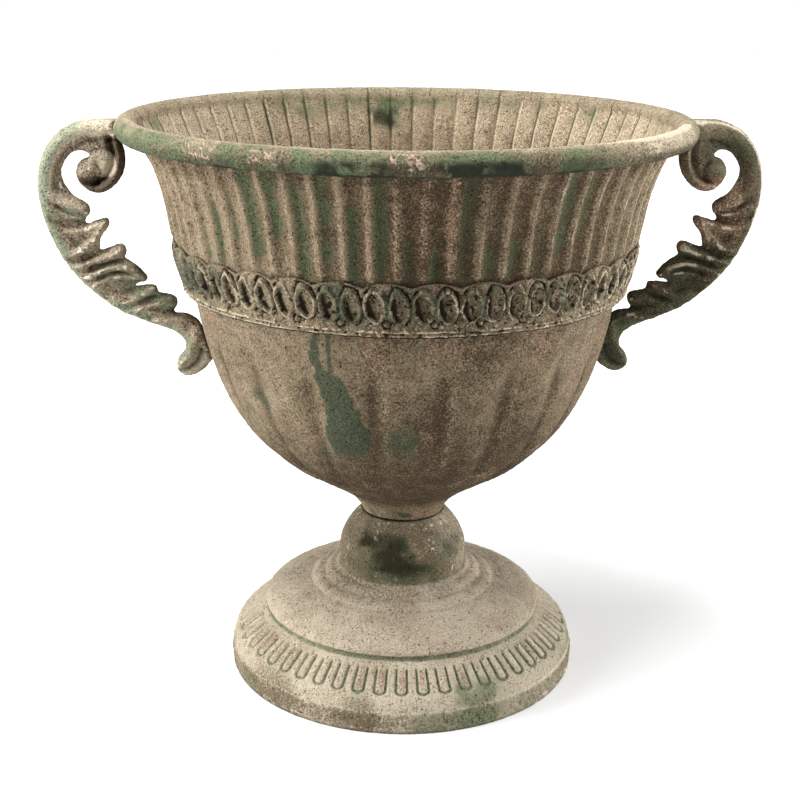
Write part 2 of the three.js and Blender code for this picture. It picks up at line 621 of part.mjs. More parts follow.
function handleArm() {
  const stations = handleStations();
  const positions = [];
  const around = 2 * SECTION.length;
  for (const { back, edge, rib } of stations) {
    const loop = [
      ...SECTION.map((s) => [s.part, s.notch + (s.rib - s.notch) * rib]),
      ...SECTION.map((s) => [s.part, -(s.notch + (s.rib - s.notch) * rib)]).reverse(),
    ];
    for (const [part, y] of loop) {
      positions.push(back[0] + (edge[0] - back[0]) * part, y, back[1] + (edge[1] - back[1]) * part);
    }
  }
  const faces = [];
  for (let k = 0; k < stations.length - 1; k += 1) {
    for (let i = 0; i < around; i += 1) {
      const [a, b] = [k * around + i, k * around + ((i + 1) % around)];
      faces.push(a, b, b + around, a, b + around, a + around);
    }
  }
  const last = (stations.length - 1) * around;
  for (let i = 0; i < SECTION.length - 1; i += 1) {
    const [a, b, c, d] = [i, i + 1, around - 2 - i, around - 1 - i];
    faces.push(a, c, b, a, d, c);
    faces.push(last + a, last + b, last + c, last + a, last + c, last + d);
  }
  const geometry = new THREE.BufferGeometry();
  geometry.setAttribute('position', new THREE.Float32BufferAttribute(positions, 3));
  geometry.setIndex(faces);
  return facingOut(geometry);
}

// Scroll under the lug: a plate whose outline winds in from the lug round the bud, and the bud itself
const SCROLL_TOP = handlePoint([95.5, 4]);
const SCROLL_START = -234;          // degrees round the bud
const SCROLL_END = -30;
const SCROLL_WIDEST = 32;           // distance from the bud's centre at SCROLL_START
const SCROLL_STEPS = 12;
const [BUD_CENTRE] = arc(SCROLL_TOP, -SCROLL_WIDEST, SCROLL_START, SCROLL_START, 1);
function scroll() {
  const centre = new THREE.Vector2(...BUD_CENTRE);
  const outline = Array.from({ length: SCROLL_STEPS + 1 }, (_, i) => {
    const left = 1 - i / SCROLL_STEPS;
    const angle = degrees(SCROLL_END + (SCROLL_START - SCROLL_END) * left);
    const radius = BUD_RADIUS + (SCROLL_WIDEST - BUD_RADIUS) * left ** 1.7;
    return new THREE.Vector2(Math.cos(angle), Math.sin(angle)).multiplyScalar(radius).add(centre);
  });
  outline.push(new THREE.Vector2(0.4 * BUD_RADIUS, 1.2 * BUD_RADIUS).add(centre));
  outline.push(new THREE.Vector2(...handlePoint(LUG_EDGE[2])));
  const plate = new THREE.ExtrudeGeometry(new THREE.Shape(outline), {
    depth: 2 * SCROLL_HALF_WIDTH, bevelEnabled: false,
  }).translate(0, 0, -SCROLL_HALF_WIDTH).rotateX(Math.PI / 2);
  const bud = new THREE.SphereGeometry(BUD_RADIUS, 12, 6)
    .rotateX(Math.PI / 2)
    .scale(1, BUD_HALF_WIDTH / BUD_RADIUS, 1)
    .rotateX(Math.PI / 2)
    .translate(BUD_CENTRE[0], 0, BUD_CENTRE[1]);
  return solid(plate).add(solid(bud));
}

// What the handle has to stay clear of: the roll and the bowl's side, each grown by the gap
function clearOfUrn() {
  const lastSide = 360 - 360 / ROLL_SIDES;
  const roll = turned(rowsOf(arc(ROLL_CENTRE, ROLL_RADIUS + GAP, 0, lastSide, ROLL_SIDES - 1), FLUTES));
  const swollen = offset(bowlOuter.slice(1, -2), -GAP);
  const core = turned([
    ...rowsOf(swollen, LOBE_SIDES * LOBES, lobeRelief),
    ...rowsOf([[1, swollen[swollen.length - 1][1]], [1, BAND_BOTTOM]], LOBE_SIDES * LOBES),
  ], LOBE_PHASE);
  return solid(roll).add(solid(core));
}

const blank = solid(handleArm()).add(scroll()).subtract(clearOfUrn());
const rightHandle = blank.subtract(solid(alongScrew(screwHole, 1)));
add('handle_right', geometryOf(rightHandle), VERDIGRIS, 0.85, 0.2);
add('handle_left', geometryOf(rightHandle).rotateZ(Math.PI), VERDIGRIS, 0.85, 0.2);

export default object;
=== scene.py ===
import math

import bpy
import numpy as np
from mathutils import Matrix, Vector


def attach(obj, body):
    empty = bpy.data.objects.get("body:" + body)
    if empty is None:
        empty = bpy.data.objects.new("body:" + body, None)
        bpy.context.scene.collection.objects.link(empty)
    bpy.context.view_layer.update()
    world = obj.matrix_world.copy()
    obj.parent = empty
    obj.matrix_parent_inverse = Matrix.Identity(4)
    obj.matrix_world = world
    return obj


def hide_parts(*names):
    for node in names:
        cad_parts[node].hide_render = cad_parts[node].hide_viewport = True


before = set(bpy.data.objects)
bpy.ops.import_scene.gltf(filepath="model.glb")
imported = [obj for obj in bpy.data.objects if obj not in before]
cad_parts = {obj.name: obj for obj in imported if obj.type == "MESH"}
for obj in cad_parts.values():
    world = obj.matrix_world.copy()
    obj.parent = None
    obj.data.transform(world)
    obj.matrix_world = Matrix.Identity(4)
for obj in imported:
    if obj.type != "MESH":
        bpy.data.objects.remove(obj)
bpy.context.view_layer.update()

# Foot ring: the pressed sheet ring that carries the urn. Its slope is stamped with fifty tongues, each one
# outlined by an incised U, and its bottom edge is turned in as a hem. The sandy paint is chipped off along
# the floor, and green has settled in the groove under the dome's lip.
SHEET = 1.5
TONGUES = 50
TONGUE_PHASE = 3.1
TONGUE_LENGTH = 19.5
TONGUE_HALF_WIDTH = 3.7
TONGUE_TOP = 39.6
TONGUE_RADIUS = 113
SLOPE_PER_RISE = 1.62
# Degrees that the photograph's camera stands to the left of the urn's front, -Y.
CAMERA_TURN = 4.1
PINK_RUST = (0.27, 0.155, 0.1, 1)


def smooth_line(knots, step):
    """Points about `step` apart on a smooth line through the knots."""
    knots = np.array(knots, float)
    ends = np.vstack([2 * knots[0] - knots[1], knots, 2 * knots[-1] - knots[-2]])
    stretches = []
    for a, b, c, d in zip(ends, ends[1:], ends[2:], ends[3:]):
        count = max(1, round(math.dist(b, c) / step))
        t = np.linspace(0, 1, count, endpoint=False)[:, None]
        bend, twist = 2 * a - 5 * b + 4 * c - d, 3 * b - a - 3 * c + d
        stretches.append(0.5 * (2 * b + (c - a) * t + bend * t**2 + twist * t**3))
    return np.vstack([*stretches, knots[-1:]])


def straight_line(knots, step):
    """Points about `step` apart on straight stretches between the knots."""
    stretches = [smooth_line([a, b], step)[:-1] for a, b in zip(knots, knots[1:])]
    return np.vstack([*stretches, [knots[-1]]])


def back_of(line, thickness, every=1):
    """The other side of a sheet, walked back the other way, with one point for `every` points of the line."""
    along = np.gradient(line, axis=0)
    normal = np.stack([-along[:, 1], along[:, 0]], 1) / np.linalg.norm(along, axis=1, keepdims=True)
    back = (line - thickness * normal)[::-1]
    kept = sorted({*range(0, len(back), every), len(back) - 1})
    return back[kept]


def rise(value, start, end):
    """0 up to start, 1 from end on, and smooth between them."""
    t = np.clip((value - start) / (end - start), 0, 1)
    return t * t * (3 - 2 * t)


def bell(value, middle, half_width, power=2):
    """1 at the middle, fading out on both sides over about the half width."""
    return np.exp(-(((value - middle) / half_width) ** power))


def blot(across, up, power=2):
    """Round stain that fades out where across and up, as shares of its half width and half height, reach 1."""
    return np.exp(-(across**power) - up**power)


def lumps(points, size, seed):
    """Smooth uneven field between -1 and 1, with its bumps about `size` across."""
    cells = points / size + 7.31 * seed
    corner = np.floor(cells).astype(np.int64)
    t = cells - corner
    t = t * t * (3 - 2 * t)
    total = np.zeros(points.shape[:-1])
    for step in np.ndindex(2, 2, 2):
        n = corner + np.array(step)
        mixed = (n[..., 0] * 73856093) ^ (n[..., 1] * 19349663) ^ (n[..., 2] * 83492791)
        mixed = ((mixed ^ (mixed >> 13)) * 1274126177) & 0xFFFFFFFF
        value = ((mixed ^ (mixed >> 16)) & 0xFFFF) / 32767.5 - 1
        total += value * np.prod(np.where(step, t, 1 - t), axis=-1)
    return total


def sand_crust(points):
    """Height of the sandy paint over the bare metal: soft lumps, coarse grains and flaked pits."""
    pits = rise(lumps(points, 2.6, 4), 0.45, 0.7)
    return 0.45 * lumps(points, 8, 1) + 0.4 * lumps(points, 3, 2) + 0.45 * lumps(points, 1.5, 3) - 1.2 * pits


def new_piece(name, points, quads):
    """Smooth-shaded piece from points in millimetres."""
    mesh = bpy.data.meshes.new(name)
    mesh.from_pydata((points * 0.001).tolist(), [], quads.tolist())
    mesh.polygons.foreach_set("use_smooth", np.ones(len(quads), bool))
    piece = bpy.data.objects.new(name, mesh)
    bpy.context.scene.collection.objects.link(piece)
    return piece


def turn_sheet(name, lines, columns, pressed, crust, lift=None):
    """Closed piece turned round the Z axis, in millimetres. `lines` goes once round the section. Each entry has
    the points of a stretch and how a pressed form shows there: 1 outside, -1 behind, 0 not at all. The angle
    is 0 at the front, -Y, and grows towards +X. Gives the piece and, for each vertex, its angle in degrees,
    r, z, form and side."""
    points = np.vstack([line for line, _ in lines])
    side = np.concatenate([np.full(len(line), float(show)) for line, show in lines])
    apart = np.linalg.norm(points - np.roll(points, 1, 0), axis=1) > 0.05
    points, side = points[apart], side[apart][:, None]
    ahead = np.roll(points, -1, 0) - np.roll(points, 1, 0)
    normal = np.stack([-ahead[:, 1], ahead[:, 0]], 1) / np.linalg.norm(ahead, axis=1, keepdims=True)
    angle = np.linspace(0, 2 * np.pi, columns, endpoint=False)[None, :]
    r, z = points[:, :1], points[:, 1:]
    form = pressed(angle, r, z) * side
    plain = np.stack(np.broadcast_arrays(r * np.sin(angle), -r * np.cos(angle), z), -1)
    depth = form + (crust(r, z) if callable(crust) else crust) * sand_crust(plain)
    radius = r + normal[:, :1] * depth
    height = z + normal[:, 1:] * depth
    if lift is not None:
        height = height + lift(angle, r, z)
    placed = np.stack([radius * np.sin(angle), -radius * np.cos(angle), height], -1).reshape(-1, 3)
    here = np.arange(len(points) * columns).reshape(len(points), columns)
    below = np.roll(here, -1, 0)
    quads = np.stack([here, below, np.roll(below, -1, 1), np.roll(here, -1, 1)], -1).reshape(-1, 4)
    spread = [np.broadcast_to(a, form.shape).ravel() for a in (np.degrees(angle), r, z, form * side, side)]
    return new_piece(name, placed, quads), spread


def on_urn(angle, r, z):
    """Where each vertex lay before pressing, in millimetres, and its angle as the photograph's camera sees it."""
    turn = np.radians(angle)
    return np.stack([r * np.sin(turn), -r * np.cos(turn), z], -1), (angle + CAMERA_TURN + 180) % 360 - 180


def wash(piece, name, amount):
    """How much of a stain, painted shade or painted highlight each vertex carries, from 0 to 1, for the paint to
    read.
    """
    layer = piece.data.attributes.new(name, "FLOAT", "POINT")
    layer.data.foreach_set("value", np.clip(amount, 0, 1).astype(np.float32))


def colour(red, green, blue):
    """The linear colour of an on-screen one."""
    return [*(((c / 255 + 0.055) / 1.055) ** 2.4 if c > 10 else c / 3295 for c in (red, green, blue)), 1]


def put(tree, kind, settings=None, **sockets):
    """Adds a node, and sets or links its named sockets."""
    made = tree.nodes.new(kind)
    for setting, value in (settings or {}).items():
        setattr(made, setting, value)
    for name, value in sockets.items():
        socket = made.inputs[name.replace("_", " ")]
        if isinstance(value, bpy.types.NodeSocket):
            tree.links.new(value, socket)
        else:
            socket.default_value = value
    return made


def figure(tree, operation, first, second=0.0):
    made = put(tree, "ShaderNodeMath", {"operation": operation})
    for socket, value in zip(made.inputs, (first, second)):
        if isinstance(value, bpy.types.NodeSocket):
            tree.links.new(value, socket)
        else:
            socket.default_value = value
    return made.outputs[0]


def summed(tree, *parts):
    """Sum of values, each times its share."""
    total = None
    for value, share in parts:
        value = value if share == 1 else figure(tree, "MULTIPLY", value, share)
        total = value if total is None else figure(tree, "ADD", total, value)
    return total


def uneven(tree, place, size, detail=2.0):
    """Noise whose bumps are about `size` millimetres across."""
    made = put(tree, "ShaderNodeTexNoise", Vector=place, Scale=1000 / size, Detail=detail, Roughness=0.6)
    return made.outputs[0]


def between(tree, value, low, high):
    made = put(tree, "ShaderNodeMapRange", {"interpolation_type": "SMOOTHSTEP"}, Value=value)
    made.inputs["From Min"].default_value = low
    made.inputs["From Max"].default_value = high
    return made.outputs[0]


def over(tree, under, top, amount):
    """One colour laid over another."""
    made = put(tree, "ShaderNodeMix", {"data_type": "RGBA"})
    for index, value in ((0, amount), (6, under), (7, top)):
        if isinstance(value, bpy.types.NodeSocket):
            tree.links.new(value, made.inputs[index])
        else:
            made.inputs[index].default_value = value
    return made.outputs[2]


# Reads one vertex wash; besides stains, the washes carry painted shade and painted highlights.
def stain(tree, name):
    return put(tree, "ShaderNodeAttribute", {"attribute_name": name}).outputs["Fac"]


def new_material(name):
    """Empty material, its node tree and the place on the piece, in metres."""
    material = bpy.data.materials.new(name)
    material.use_nodes = True
    tree = material.node_tree
    tree.nodes.clear()
    return material, tree, put(tree, "ShaderNodeTexCoord").outputs["Object"]


def sandy_paint(name, pale, body, dark, green, grime_and_shade, rust=PINK_RUST):
    """Old sandy paint, mottled and pitted, with pink rust and verdigris. Its recess wash lays dirt and painted
    shade, its crest wash wear and painted highlights, and its shade wash darker paint and painted shade.
    """
    material, tree, place = new_material(name)
    broad = uneven(tree, place, 60)
    mottle = uneven(tree, place, 9, 4)
    sand = uneven(tree, place, 1.25, 3)
    tone = summed(tree, (broad, 0.4), (mottle, 0.6))
    tone = summed(tree, (tone, 0.4), (sand, 0.6), (stain(tree, "shade"), -0.17))
    ramp = put(tree, "ShaderNodeValToRGB", Fac=tone)
    for element, (position, shade) in zip(ramp.color_ramp.elements, ((0.32, dark), (0.66, pale))):
        element.position = position
        element.color = shade
    ramp.color_ramp.elements.new(0.49).color = body
    finish = ramp.outputs[0]

    spread = summed(tree, (mottle, 1.2), (sand, 1))
    rusty = between(tree, summed(tree, (stain(tree, "rust"), 1), (spread, 1)), 1.3, 1.9)
    flaky_rust = over(tree, rust, pale, between(tree, sand, 0.5, 0.7))
    finish = over(tree, finish, flaky_rust, summed(tree, (rusty, 0.8)))
    # Paler with wear, and painted highlights.
    crest = between(tree, summed(tree, (stain(tree, "crest"), 1), (sand, 1)), 1.0, 1.45)
    finish = over(tree, finish, pale, crest)
    patch = between(tree, summed(tree, (stain(tree, "verdigris"), 1), (spread, 1)), 1.35, 1.95)
    deep_green = [0.4 * c for c in green[:3]] + [1]
    sandy_green = over(tree, deep_green, green, between(tree, sand, 0.35, 0.58))
    finish = over(tree, finish, sandy_green, summed(tree, (patch, 0.9)))
    # Darker towards the hollow colour: dirt, and painted shade.
    hollow = between(tree, summed(tree, (stain(tree, "recess"), 1), (sand, 0.7)), 0.55, 1.25)
    finish = over(tree, finish, grime_and_shade, hollow)
    pits = put(tree, "ShaderNodeTexVoronoi", Vector=place, Scale=1000 / 2.3).outputs
    holes = between(tree, summed(tree, (pits["Distance"], 1), (pits["Color"], 0.5)), 0.42, 0.28)
    finish = over(tree, finish, [0.3 * c for c in grime_and_shade[:3]] + [1], summed(tree, (holes, 0.65)))
    grains = put(tree, "ShaderNodeTexVoronoi", Vector=place, Scale=1000 / 1.3).outputs
    specks = between(tree, summed(tree, (grains["Distance"], 1), (grains["Color"], 0.45)), 0.46, 0.3)
    specks = figure(tree, "MULTIPLY", specks, figure(tree, "SUBTRACT", 1.0, hollow))
    finish = over(tree, finish, pale, summed(tree, (figure(tree, "MULTIPLY", specks, sand), 0.75)))

    height = summed(tree, (sand, 0.8), (uneven(tree, place, 0.8), 0.4))
    height = summed(tree, (height, 1), (holes, -0.9), (specks, 0.35))
    bump = put(tree, "ShaderNodeBump", Strength=1.0, Distance=0.0012, Height=height)
    shader = put(tree, "ShaderNodeBsdfPrincipled", Base_Color=finish, Normal=bump.outputs[0])
    rough = put(tree, "ShaderNodeMapRange", Value=mottle)
    rough.inputs["To Min"].default_value = 0.74
    rough.inputs["To Max"].default_value = 0.98
    tree.links.new(rough.outputs[0], shader.inputs["Roughness"])
    shader.inputs["Specular IOR Level"].default_value = 0.12
    put(tree, "ShaderNodeOutputMaterial", Surface=shader.outputs[0])
    return material


def tongue_relief(angle, r, z):
    """Incised U round each tongue: depth from the distance to the U's line on the slope."""
    pitch = 2 * np.pi / TONGUES
    across = ((angle - math.radians(TONGUE_PHASE) + pitch / 2) % pitch - pitch / 2) * TONGUE_RADIUS
    down = (TONGUE_TOP - z) * SLOPE_PER_RISE
    straight = TONGUE_LENGTH - TONGUE_HALF_WIDTH
    reach = np.where(down < straight, np.abs(across), np.hypot(across, down - straight))
    on_slope = rise(down, -2, 2) * rise(z, 23, 25)
    groove = bell(reach, TONGUE_HALF_WIDTH, 1.05)
    raised = 0.5 * (1 - rise(reach, TONGUE_HALF_WIDTH - 1.8, TONGUE_HALF_WIDTH - 0.4))
    rim = 0.35 * bell(reach - TONGUE_HALF_WIDTH, 2.1, 1.1)
    return on_slope * (raised + rim - 1.3 * groove)


def foot_crust(r, z):
    """Flaked more along the bottom band than above, but flat where the ring stands on the floor."""
    return 0.15 + 0.25 * rise(z, 1, 4) + 0.55 * rise(z, 2, 6) * (1 - rise(z, 12, 19))


def foot_ring():
    slope = smooth_line([(101.8, 43.9), (107.5, 40.1), (114.5, 35), (120.5, 30.3), (126, 25.4)], 0.85)
    outside = np.vstack([
        straight_line([(93, 54.2), (101.2, 49.4), (101.8, 44.6)], 1.6),
        slope[1:],
        smooth_line([(127.3, 22.5), (128.2, 19.2), (128.9, 16)], 1.2),
        smooth_line([(129.5, 14.2), (129.8, 12), (129.9, 6), (129.8, 1.6)], 1.2),
    ])
    hem = np.array([(129.2, 0.35), (127.2, 0.35), (126.7, 2), (126.7, 5.2), (128, 6)])
    inside = back_of(outside[:-2], SHEET, 4)
    lines = [(outside, 1), (hem, 0), (inside, -1)]
    piece, (angle, r, z, form, side) = turn_sheet("pressed_foot_ring", lines, 1100, tongue_relief, foot_crust)
    around, view = on_urn(angle, r, z)
    left_side, right_side = bell(view, -62, 30), bell(view, 62, 30)
    patchy = lumps(around, 26, 11)
    # Darker in the U grooves; along the floor edge, painted shadow where the ring meets the floor; and over the
    # whole inner face, painted shade.
    wash(piece, "recess", rise(-form, 0.4, 1.3) * 0.32 + 0.5 * (1 - rise(z, 1.5, 4)) + (side < 0) * 0.5)
    chips = rise(lumps(around, 3.2, 15), 0.0, 0.4) * (1 - rise(z, 3, 12))
    # Paler on the raised tongues, the ridges between them and the turned edge above the bottom band, painted
    # highlights with some wear; paler where the bottom band is chipped; and the right side paler, painted light.
    wash(piece, "crest", 0.55 * rise(form, 0.1, 0.5) + 0.6 * bell(z, 16.5, 2) + 0.7 * chips + 0.3 * right_side)
    lip_green = rise(z, 41.8, 43.2) * (0.75 + 0.3 * patchy)
    slope_green = rise(patchy, -0.1, 0.5) * rise(z, 15, 19) * (1 - rise(z, 27, 33)) * 0.35
    groove_green = rise(-form, 0.2, 0.8) * (0.55 + 0.35 * np.cos(np.radians(view)))
    right_green = bell(view, 44, 36) * (1 - rise(z, 30, 40)) * (0.34 + 0.2 * patchy)
    band_green = (1 - rise(z, 14, 17)) * (rise(lumps(around, 34, 12), 0.0, 0.5) * 0.3 + 0.15)
    wash(piece, "verdigris", lip_green + slope_green + groove_green + right_green + band_green)
    wash(piece, "rust", 0.35 * rise(lumps(around, 22, 14), 0.2, 0.7) + 0.4 * rise(form, 0.3, 0.48))
    # Darker round the bottom band, most at the front left, and in patches low on the slope. The left side is
    # darkened, painted shade, and the upper slope away from the left is lightened, painted light; the rest is
    # uneven tone.
    bottom_band_darkening = (1 - rise(z, 13.5, 16.5)) * (0.35 + 0.35 * np.cos(np.radians(view + 20)) + 0.6 * patchy)
    slope_dirt_and_light = 0.5 * rise(patchy, 0, 0.7) * (1 - rise(z, 22, 30)) - 0.25 * rise(z, 20, 26) * (1 - left_side)
    wash(piece, "shade", bottom_band_darkening + 0.25 * left_side + slope_dirt_and_light + 0.25 * rise(lumps(around, 40, 13), 0, 0.7))
    piece.data.materials.append(sandy_paint(
        "foot_paint", pale=colour(222, 210, 188), body=colour(194, 181, 158), dark=colour(116, 103, 81),
        green=colour(128, 138, 106), grime_and_shade=colour(72, 66, 48)))
    return piece


ring = foot_ring()
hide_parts("foot_ring")
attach(ring, "root")

# Pedestal: spun sheet in one piece, from the flat plate under the bowl through the ball and two soft ring
# steps to the dome, whose lip turns down over the foot ring. Sandy paint, with dark verdigris on the
# front of the ball and thin green lines in the steps.
def smooth_spun(angle, r, z):
    """Nothing is pressed into spun sheet."""
    return 0 * angle * r


def spots(places, across, up):
    """Soft stains, each given by the angle and height of its middle, half width, half height and strength."""
    return sum(strength * blot((across - view) / half_width, (up - height) / half_height)
               for view, height, half_width, half_height, strength in places)


def pedestal():
    ball = smooth_line([(30.4, 118.9), (35.5, 114.2), (42.2, 105), (46.4, 95), (47.2, 86.5), (46.8, 80.5)], 1.1)
    steps = smooth_line([(47.4, 76.6), (50.6, 73.6), (54.6, 72.4), (57.2, 70.2), (59.6, 67.8), (63.4, 66.9),
                         (66.6, 65.6), (69.4, 63.4), (74, 62.2), (84, 59.8), (94.5, 55.9), (101, 52)], 1.1)
    lip = smooth_line([(102.9, 50.3), (103.7, 48.7), (103.8, 46.4)], 0.9)
    outside = np.vstack([straight_line([(4.3, 119), (29.6, 119)], 4), ball, steps, lip])
    lines = [(outside, 1), (back_of(outside, SHEET, 4), -1)]
    piece, (angle, r, z, _, side) = turn_sheet("spun_pedestal", lines, 660, smooth_spun, 0.42)
    around, view = on_urn(angle, r, z)
    left_side, right_side = bell(view, -62, 28), bell(view, 58, 32)
    on_ball = rise(z, 73, 80)
    torn = view + 9 * lumps(around, 9, 24) + 5 * lumps(around, 3, 20)
    torn_z = z + 4 * lumps(around, 7, 17)
    front = spots([(-10, 100, 13, 9, 0.95), (-4, 86, 36, 9, 0.95), (52, 98, 20, 12, 0.5), (-40, 112, 14, 6, 0.4)],
                  torn, torn_z)
    rear = bell(np.abs(view), 180, 45) * rise(z, 78, 84) * (1 - rise(z, 98, 108))
    ball_green = (front + 0.5 * rear) * (0.8 + 0.6 * lumps(around, 6, 21)) + 0.25
    steps_green = 0.5 * bell(z, 76.2, 1.6) + 0.42 * bell(r, 59.4, 1.6) + 0.34 * bell(r, 69.6, 2)
    under_lip = rise(r, 103, 103.6) * (1 - rise(z, 46.4, 47.2)) * 0.7
    wash(piece, "verdigris", ball_green * on_ball + steps_green + under_lip)
    dome_rust = 0.4 * rise(lumps(around, 24, 26), 0.1, 0.6)
    ball_rust = spots([(13, 99, 8, 8, 0.6)], torn, torn_z)
    wash(piece, "rust", dome_rust * (1 - on_ball) + ball_rust * on_ball)
    # Painted shade: darker round the foot of the ball, where its shadow falls on the dome, with some dirt there.
    # The ball's darker paint is darkened further at the front, between the side lights, and on the left, painted
    # shade, and lightened on the right, painted light. The dome is lightened on the right and away from the left,
    # painted light.
    round_ball = 0.45 * (1 - rise(r, 54, 72))
    ball_shade = 0.95 + 0.35 * np.cos(np.radians(view - 5)) + 0.5 * left_side - 0.45 * right_side
    dome_painted_light = 0.3 * right_side + 0.2 * (1 - left_side) * (1 - on_ball)
    wash(piece, "shade", np.maximum(on_ball, round_ball) * ball_shade - dome_painted_light
         + 0.3 * rise(lumps(around, 38, 23), 0, 0.6))
    # Dark patches on the ball, and the ball darker all over, more on its left, where the added darkness is
    # painted shade. The inner face is darker, painted shade, and the top plate dark where the bowl's neck sits on
    # it.
    dark_patch = spots([(-36, 105, 13, 5, 0.62), (-10, 99, 14, 10, 0.6), (0, 87, 30, 6, 0.5)], torn, torn_z)
    ball_grime_and_shade = dark_patch + (0.27 + 0.15 * left_side) * (1 - right_side)
    wash(piece, "recess", ball_grime_and_shade * on_ball + (side < 0) * 0.5 + rise(z, 117.8, 118.8) * 0.7)
    flecks = rise(lumps(around, 1.7, 27), 0.3, 0.5) * rise(lumps(around, 13, 28), -0.3, 0.2) * on_ball
    # Pale patches, pale scratches on the ball, and the right side paler, painted light.
    wash(piece, "crest", 0.3 * rise(lumps(around, 9, 25), 0.3, 0.8) + 0.75 * flecks + 0.3 * right_side)
    piece.data.materials.append(sandy_paint(
        "pedestal_paint", pale=colour(220, 207, 184), body=colour(190, 176, 154), dark=colour(106, 93, 71),
        green=colour(88, 96, 70), grime_and_shade=colour(46, 43, 28)))
    return piece


spun = pedestal()
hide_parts("pedestal_dome")
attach(spun, "root")

# Tie bolt, nut and washers: zinc-plated steel fixings that clamp the bowl's floor on the pedestal's plate,
# with a rubber gasket under the bolt's washer. They keep their CAD solids and get plating and rubber.
def zinc_plate():
    material, tree, place = new_material("zinc_plate")
    spangle = put(tree, "ShaderNodeTexVoronoi", Vector=place, Scale=1000 / 1.6).outputs["Color"]
    grey = over(tree, colour(150, 152, 150), colour(186, 188, 186), spangle)
    rust = between(tree, uneven(tree, place, 5, 4), 0.56, 0.68)
    finish = over(tree, grey, colour(110, 74, 46), rust)
    shader = put(tree, "ShaderNodeBsdfPrincipled", Base_Color=finish)
    tree.links.new(figure(tree, "SUBTRACT", 0.9, summed(tree, (rust, 0.8))), shader.inputs["Metallic"])
    tree.links.new(figure(tree, "ADD", 0.42, summed(tree, (rust, 0.45))), shader.inputs["Roughness"])
    bump = put(tree, "ShaderNodeBump", Strength=0.25, Distance=0.0003, Height=uneven(tree, place, 0.9, 3))
    tree.links.new(bump.outputs[0], shader.inputs["Normal"])
    put(tree, "ShaderNodeOutputMaterial", Surface=shader.outputs[0])
    return material


def gasket_rubber():
    material, tree, place = new_material("black_rubber")
    dust = between(tree, uneven(tree, place, 6, 4), 0.45, 0.7)
    dusty = over(tree, colour(38, 38, 37), colour(86, 82, 74), dust)
    bump = put(tree, "ShaderNodeBump", Strength=0.3, Distance=0.0002, Height=uneven(tree, place, 0.7, 2))
    shader = put(tree, "ShaderNodeBsdfPrincipled", Base_Color=dusty, Normal=bump.outputs[0], Roughness=0.82)
    put(tree, "ShaderNodeOutputMaterial", Surface=shader.outputs[0])
    return material


def dress(node, material):
    """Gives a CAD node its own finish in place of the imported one."""
    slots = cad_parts[node].data.materials
    slots.clear()
    slots.append(material)


plating = zinc_plate()
for fixing in ("tie_bolt", "bowl_washer", "pedestal_washer", "tie_nut"):
    dress(fixing, plating)
dress("bowl_gasket", gasket_rubber())

# Bowl: pressed sheet with twenty shallow lobes that fade out under the band and into the neck cone, whose
# flat floor stands on the pedestal. Sandy brown paint, with a teal run down the front from the band.
LOBES = 20
LOBE_PHASE = 5.6
LOBE_DEPTH = 3.2
LOBE_FULL_RADIUS = 126.5
# The two edges of the green run: height, and angle from the camera's side.
RUN_LEFT = [
    (185, -20.5), (205, -22.5), (218, -23), (228, -22.4), (240, -22.2), (250, -22.4), (262, -23.6),
    (272, -24.2), (290, -22.4)]
RUN_RIGHT = [
    (185, -12), (205, -10.4), (220, -10.2), (230, -11), (242, -12.2), (250, -14), (260, -15.6),
    (264, -19.6), (272, -20.8), (290, -20.9)]
# Smaller green patches.
BOWL_GREEN = [(1, 213, 8, 19, 0.75), (-44, 236, 2.4, 17, 0.6), (-57, 286, 4, 4, 0.5), (-56, 215, 9, 22, 0.45),
              (22, 226, 10, 20, 0.3), (-24, 200, 12, 12, 0.4), (60, 226, 9, 18, 0.35), (38, 195, 8, 14, 0.28),
              (-40, 126, 14, 5, 0.6), (0, 123, 14, 4, 0.8)]


def lobe_relief(angle, r, z):
    depth = LOBE_DEPTH * (1 - rise(z, 246, 286)) * rise(z, 136, 165) * r / LOBE_FULL_RADIUS
    crown = np.sqrt(np.sin(LOBES / 2 * (angle - math.radians(LOBE_PHASE))) ** 2 + 0.02)
    return -depth * np.clip(1 - crown, 0, 1) ** 1.4


def read_off(value, table):
    """Value read from a table of pairs, straight between them."""
    return np.interp(value, *zip(*table))


def green_run(around, view, z):
    """The run down the bowl's front, between its two torn edges, with a thread beside it at the top."""
    torn = view + 1.1 * lumps(around, 9, 31) + 0.7 * lumps(around, 3.5, 32)
    left, right = read_off(z, RUN_LEFT), read_off(z, RUN_RIGHT)
    run = rise(torn, left - 0.5, left + 0.5) * (1 - rise(torn, right - 0.5, right + 0.5))
    return np.maximum(run * rise(z, 186, 222), bell(view, -18.9, 0.75) * rise(z, 258, 266))


